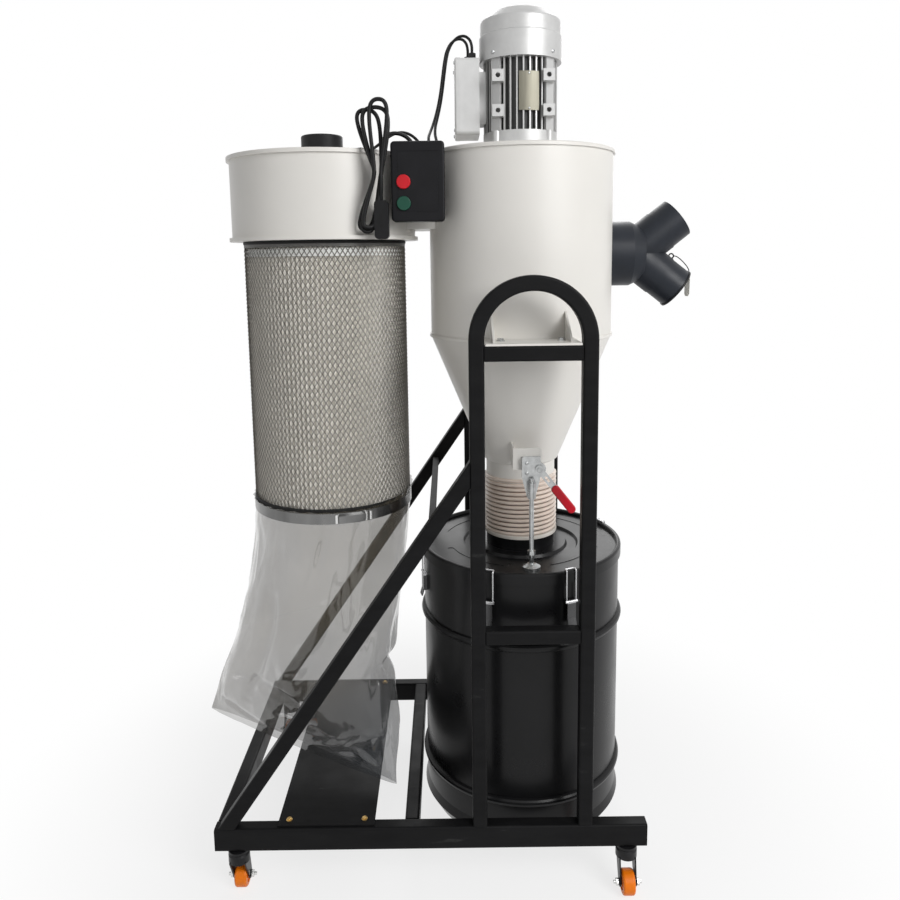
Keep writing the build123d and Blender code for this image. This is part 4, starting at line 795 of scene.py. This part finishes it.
def make_fasteners():
    """Bolts and screws on the fixed pieces, and the nuts on the casters' axles."""
    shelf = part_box("front_crossbars")[1].z + BRACKET_THICK
    mesh = bmesh.new()
    for y in (-BRACKET_BOLT_Y, BRACKET_BOLT_Y):
        for x in (-BRACKET_BOLT_X, BRACKET_BOLT_X):
            bolt(mesh, (CYCLONE_X + x, y, shelf), UP, BRACKET_BOLT)
    low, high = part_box("terminal_box")
    for y in (-BOX_SCREW_Y, BOX_SCREW_Y):
        for z in (low.z + BOX_SCREW_EDGE, high.z - BOX_SCREW_EDGE):
            screw(mesh, (low.x + BOX_SCREW_SUNK, y, z), (-1, 0, 0), BOX_SCREW)
    cowl = Vector((CYCLONE_X, 0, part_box("motor_cowl")[0].z + COWL_SCREW_UP))
    for quarter in range(4):
        out = heading(45 + 90 * quarter)
        screw(mesh, cowl + out * COWL_SCREW_R, out, COWL_SCREW)
    low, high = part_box("clamp_body")
    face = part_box("clamp_handle")[1].y + CLAMP_SCREW_SUNK
    for drop in CLAMP_SCREW_DROPS:
        screw(mesh, (low.x + CLAMP_SCREW_X, face, high.z - drop), FRONT, CLAMP_SCREW)
    bolt(mesh, (CYCLONE_X + CLAMP_BOLT_X, low.y + CLAMP_BOLT_Y, high.z - CLAMP_BOLT_DROP), FRONT, CLAMP_BOLT)
    add_piece("zinc_fasteners", mesh, "zinc_steel")

    low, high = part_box("base_plate")
    mesh = bmesh.new()
    for x in (low.x + PLATE_BOLT_X, high.x - PLATE_BOLT_X):
        for y in (low.y + PLATE_BOLT_Y, high.y - PLATE_BOLT_Y):
            bolt(mesh, (x, y, high.z), UP, PLATE_BOLT)
    add_piece("plate_bolts", mesh, "brass")

    for place in ("front_left", "front_right", "rear_left", "rear_right"):
        low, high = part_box(f"caster_fork_{place}")
        wheel_low, wheel_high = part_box(f"caster_wheel_{place}")
        middle = (wheel_low + wheel_high) / 2
        mesh = bmesh.new()
        for at, way in ((low.x, -1), (high.x, 1)):
            turned(mesh, (at - AXLE_NUT_SUNK * way, middle.y, middle.z), (way, 0, 0), AXLE_NUT, 6)
            turned(mesh, (at, middle.y, middle.z), (way, 0, 0), AXLE_PIN, 20)
        add_piece(f"axle_nuts_{place}", mesh, "bright_steel", body=f"caster_fork_{place}")


# Band clamp: its outer radius, and the radius, foot, angles and profile of its rolled ends
BAND_R = 0.1785
BAND_ROLL_R = 0.0042
BAND_ROLL_FOOT = 0.002
BAND_ROLL_ANGLES = (-80.0, -60.0, -56.6)
BAND_ROLL = [(0.75 * BAND_ROLL_R, 0), (BAND_ROLL_R, 0.001), (BAND_ROLL_R, 0.018), (0.75 * BAND_ROLL_R, 0.019)]


def make_band_rolls():
    """Rolled hinge ends of the band clamp, at both ends of its lever."""
    foot = Vector((FILTER_X, 0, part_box("bag_clamp")[0].z + BAND_ROLL_FOOT))
    mesh = bmesh.new()
    for angle in BAND_ROLL_ANGLES:
        turned(mesh, foot + heading(angle) * (BAND_R + 0.6 * BAND_ROLL_R), UP, BAND_ROLL, 20)
    add_piece("band_rolls", mesh, "bright_steel")


# Motor's bare plate: heights above the motor body's foot, inner and outer radius, first angle and sweep in
# degrees, and the rivets that hold it
PLATE_HEIGHTS = (0.038, 0.116)
PLATE_RADII = (0.0796, 0.0805)
PLATE_START = -97
PLATE_SWEEP = 31
PLATE_STEPS = 16
RIVET_HEIGHTS = (0.042, 0.112)
RIVET_ANGLE = -81.5
RIVET_R = 0.0804
RIVET_SIZE = 0.0024


def make_nameplate():
    """Bare curved plate riveted over the motor's front fins."""
    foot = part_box("motor_body")[0].z
    inner, outer = PLATE_RADII
    steps = range(PLATE_STEPS + 1)
    edge = [(inner, i) for i in steps] + [(outer, i) for i in reversed(steps)]
    mesh = bmesh.new()
    rings = []
    for height in PLATE_HEIGHTS:
        ring = []
        for radius, i in edge:
            a = math.radians(PLATE_START + PLATE_SWEEP * i / PLATE_STEPS)
            ring.append(Vector((CYCLONE_X + radius * math.cos(a), radius * math.sin(a), foot + height)))
        rings.append(ring)
    skin_rings(mesh, rings, cap=True)
    add_piece("motor_plate", mesh, "plate_bare")
    mesh = bmesh.new()
    out = heading(RIVET_ANGLE)
    for height in RIVET_HEIGHTS:
        screw(mesh, Vector((CYCLONE_X, 0, foot + height)) + out * RIVET_R, out, RIVET_SIZE)
    add_piece("plate_rivets", mesh, "zinc_steel")


# Cap's leash and tab: places as (along, above) the lower branch's axis from the wye's root, radii of the rods,
# and the tab's outline as (drop, half width)
WYE_ROOT = Vector((CYCLONE_X + 0.275, 0.12, 1.323))
WYE_ANGLE = math.radians(38)
ROD_SIDES = 10
EYE_AT = (0.079, 0.053)
EYE_R = 0.0055
EYE_ROD = 0.0017
EYE_STEPS = 20
LEASH_SHAPE = [(0.0825, 0.0565), (0.090, 0.0600), (0.100, 0.0605), (0.112, 0.0595), (0.124, 0.0570),
               (0.133, 0.0535), (0.1365, 0.0500)]
LEASH_ROD = 0.0012
TAB_AT = (0.1345, 0.046)
TAB_SHAPE = [(0.0, 0.006), (0.012, 0.007), (0.05, 0.007), (0.056, 0.004)]
TAB_SIDE = Vector((0.6, -0.8, 0))
TAB_THICK = Vector((0.00072, 0.00054, 0))
TAB_CURL = 0.0012


def rod_along(mesh, points, radius):
    """Round rod through points in an upright plane across Y."""
    rings = []
    for i, point in enumerate(points):
        ahead = (points[min(i + 1, len(points) - 1)] - points[max(i - 1, 0)]).normalized()
        across = ahead.cross(Vector((0, 1, 0))).normalized()
        rings.append(circle_points(point, radius, ROD_SIDES, across, ahead.cross(across)))
    skin_rings(mesh, rings, cap=True)


def make_cap_leash():
    """Eye on the lower branch, a thin leash from it to the cap, and the cap's pull tab."""
    along = Vector((math.cos(WYE_ANGLE), 0, -math.sin(WYE_ANGLE)))
    upward = Vector((math.sin(WYE_ANGLE), 0, math.cos(WYE_ANGLE)))

    def on_branch(far, above):
        return WYE_ROOT + along * far + upward * above

    mesh = bmesh.new()
    eye = on_branch(*EYE_AT)
    steps = [2 * math.pi * i / EYE_STEPS for i in range(EYE_STEPS + 1)]
    loop = [eye + along * (EYE_R * math.cos(a)) + upward * (EYE_R * math.sin(a)) for a in steps]
    rod_along(mesh, loop, EYE_ROD)
    rod_along(mesh, [on_branch(far, above) for far, above in LEASH_SHAPE], LEASH_ROD)
    add_piece("cap_leash", mesh, "black_plastic")
    mesh = bmesh.new()
    rings = []
    for drop, half in TAB_SHAPE:
        at = on_branch(*TAB_AT) - Vector((0, 0, drop))
        at.x += TAB_CURL * math.sin(60 * drop)
        left, right = at - TAB_SIDE * half, at + TAB_SIDE * half
        rings.append([left, left + TAB_THICK, right + TAB_THICK, right])
    skin_rings(mesh, rings, cap=True)
    add_piece("cap_tab", mesh, "tag_clear")


# Stage: the floor's half side, where its fade to white starts and ends, how white it is at the machine, the
# surround's strength as a light, and each lamp's place, target, size and power in watts
FLOOR_HALF = 14
FLOOR_FADE = (0.5, 1.2)
FLOOR_NEAR = 0.76
SURROUND = 0.25
LAMPS = [
    ("key", (2.4, -2.9, 2.8), (0.0, 0.0, 0.9), 2.2, 116),
    ("fill", (-2.6, -2.6, 1.8), (0.0, 0.0, 0.9), 2.0, 5),
    ("rim", (0.4, 2.8, 2.8), (0.0, 0.0, 1.0), 2.4, 40),
]


def seen_directly(tree):
    """One for rays that show the background: straight, mirrored or through something clear."""
    path = tree.nodes.new("ShaderNodeLightPath")
    result = path.outputs["Is Camera Ray"]
    for ray in ("Is Glossy Ray", "Is Transmission Ray"):
        either = tree.nodes.new("ShaderNodeMath")
        either.operation = "MAXIMUM"
        tree.links.new(result, either.inputs[0])
        tree.links.new(path.outputs[ray], either.inputs[1])
        result = either.outputs["Value"]
    return result


def make_stage():
    """Pale floor that fades to white away from the machine, soft lamps and a white surround."""
    mesh = bmesh.new()
    bmesh.ops.create_grid(mesh, x_segments=1, y_segments=1, size=FLOOR_HALF)
    data = bpy.data.meshes.new("floor")
    mesh.to_mesh(data)
    mesh.free()
    floor = bpy.data.objects.new("floor", data)
    bpy.context.scene.collection.objects.link(floor)
    pale = Surface("floor_pale", (0.9, 0.9, 0.9), 0.7, Specular_IOR_Level=0.2)
    tree = pale.tree
    glow = pale.node("ShaderNodeEmission", Color=(1.0, 1.0, 1.0, 1.0), Strength=1.0)
    fade = pale.node("ShaderNodeMapRange", From_Min=FLOOR_FADE[0], From_Max=FLOOR_FADE[1],
                     To_Min=FLOOR_NEAR, To_Max=1.0)
    fade.interpolation_type = "SMOOTHSTEP"
    pale.link(pale.from_axis(0.0), fade.inputs["Value"])
    share = tree.nodes.new("ShaderNodeMath")
    share.operation = "MULTIPLY"
    pale.link(fade.outputs["Result"], share.inputs[0])
    pale.link(seen_directly(tree), share.inputs[1])
    mix = tree.nodes.new("ShaderNodeMixShader")
    pale.link(share.outputs["Value"], mix.inputs["Fac"])
    pale.link(pale.shader.outputs["BSDF"], mix.inputs[1])
    pale.link(glow.outputs["Emission"], mix.inputs[2])
    pale.link(mix.outputs["Shader"], tree.nodes["Material Output"].inputs["Surface"])
    floor.data.materials.append(pale.material)

    world = bpy.data.worlds.new("surround")
    bpy.context.scene.world = world
    world.use_nodes = True
    tree = world.node_tree
    back = tree.nodes["Background"]
    back.inputs["Color"].default_value = (1.0, 1.0, 1.0, 1.0)
    strength = tree.nodes.new("ShaderNodeMapRange")
    strength.inputs["To Min"].default_value = SURROUND
    strength.inputs["To Max"].default_value = 1.0
    tree.links.new(seen_directly(tree), strength.inputs["Value"])
    tree.links.new(strength.outputs["Result"], back.inputs["Strength"])

    for name, at, target, size, power in LAMPS:
        light = bpy.data.lights.new(name, "AREA")
        light.shape = "SQUARE"
        light.size = size
        light.energy = power
        lamp = bpy.data.objects.new(name, light)
        lamp.location = at
        lamp.rotation_mode = "QUATERNION"
        lamp.rotation_quaternion = (Vector(target) - Vector(at)).to_track_quat("-Z", "Y")
        bpy.context.scene.collection.objects.link(lamp)


make_camera()
make_mains_cord()
make_control_lead()
dress_cad()
make_filter_mesh()
make_gasket()
make_hose()
make_bag()
make_cuff()
make_fasteners()
make_band_rolls()
make_nameplate()
make_cap_leash()
make_stage()

bpy.context.scene.view_settings.view_transform = "Standard"
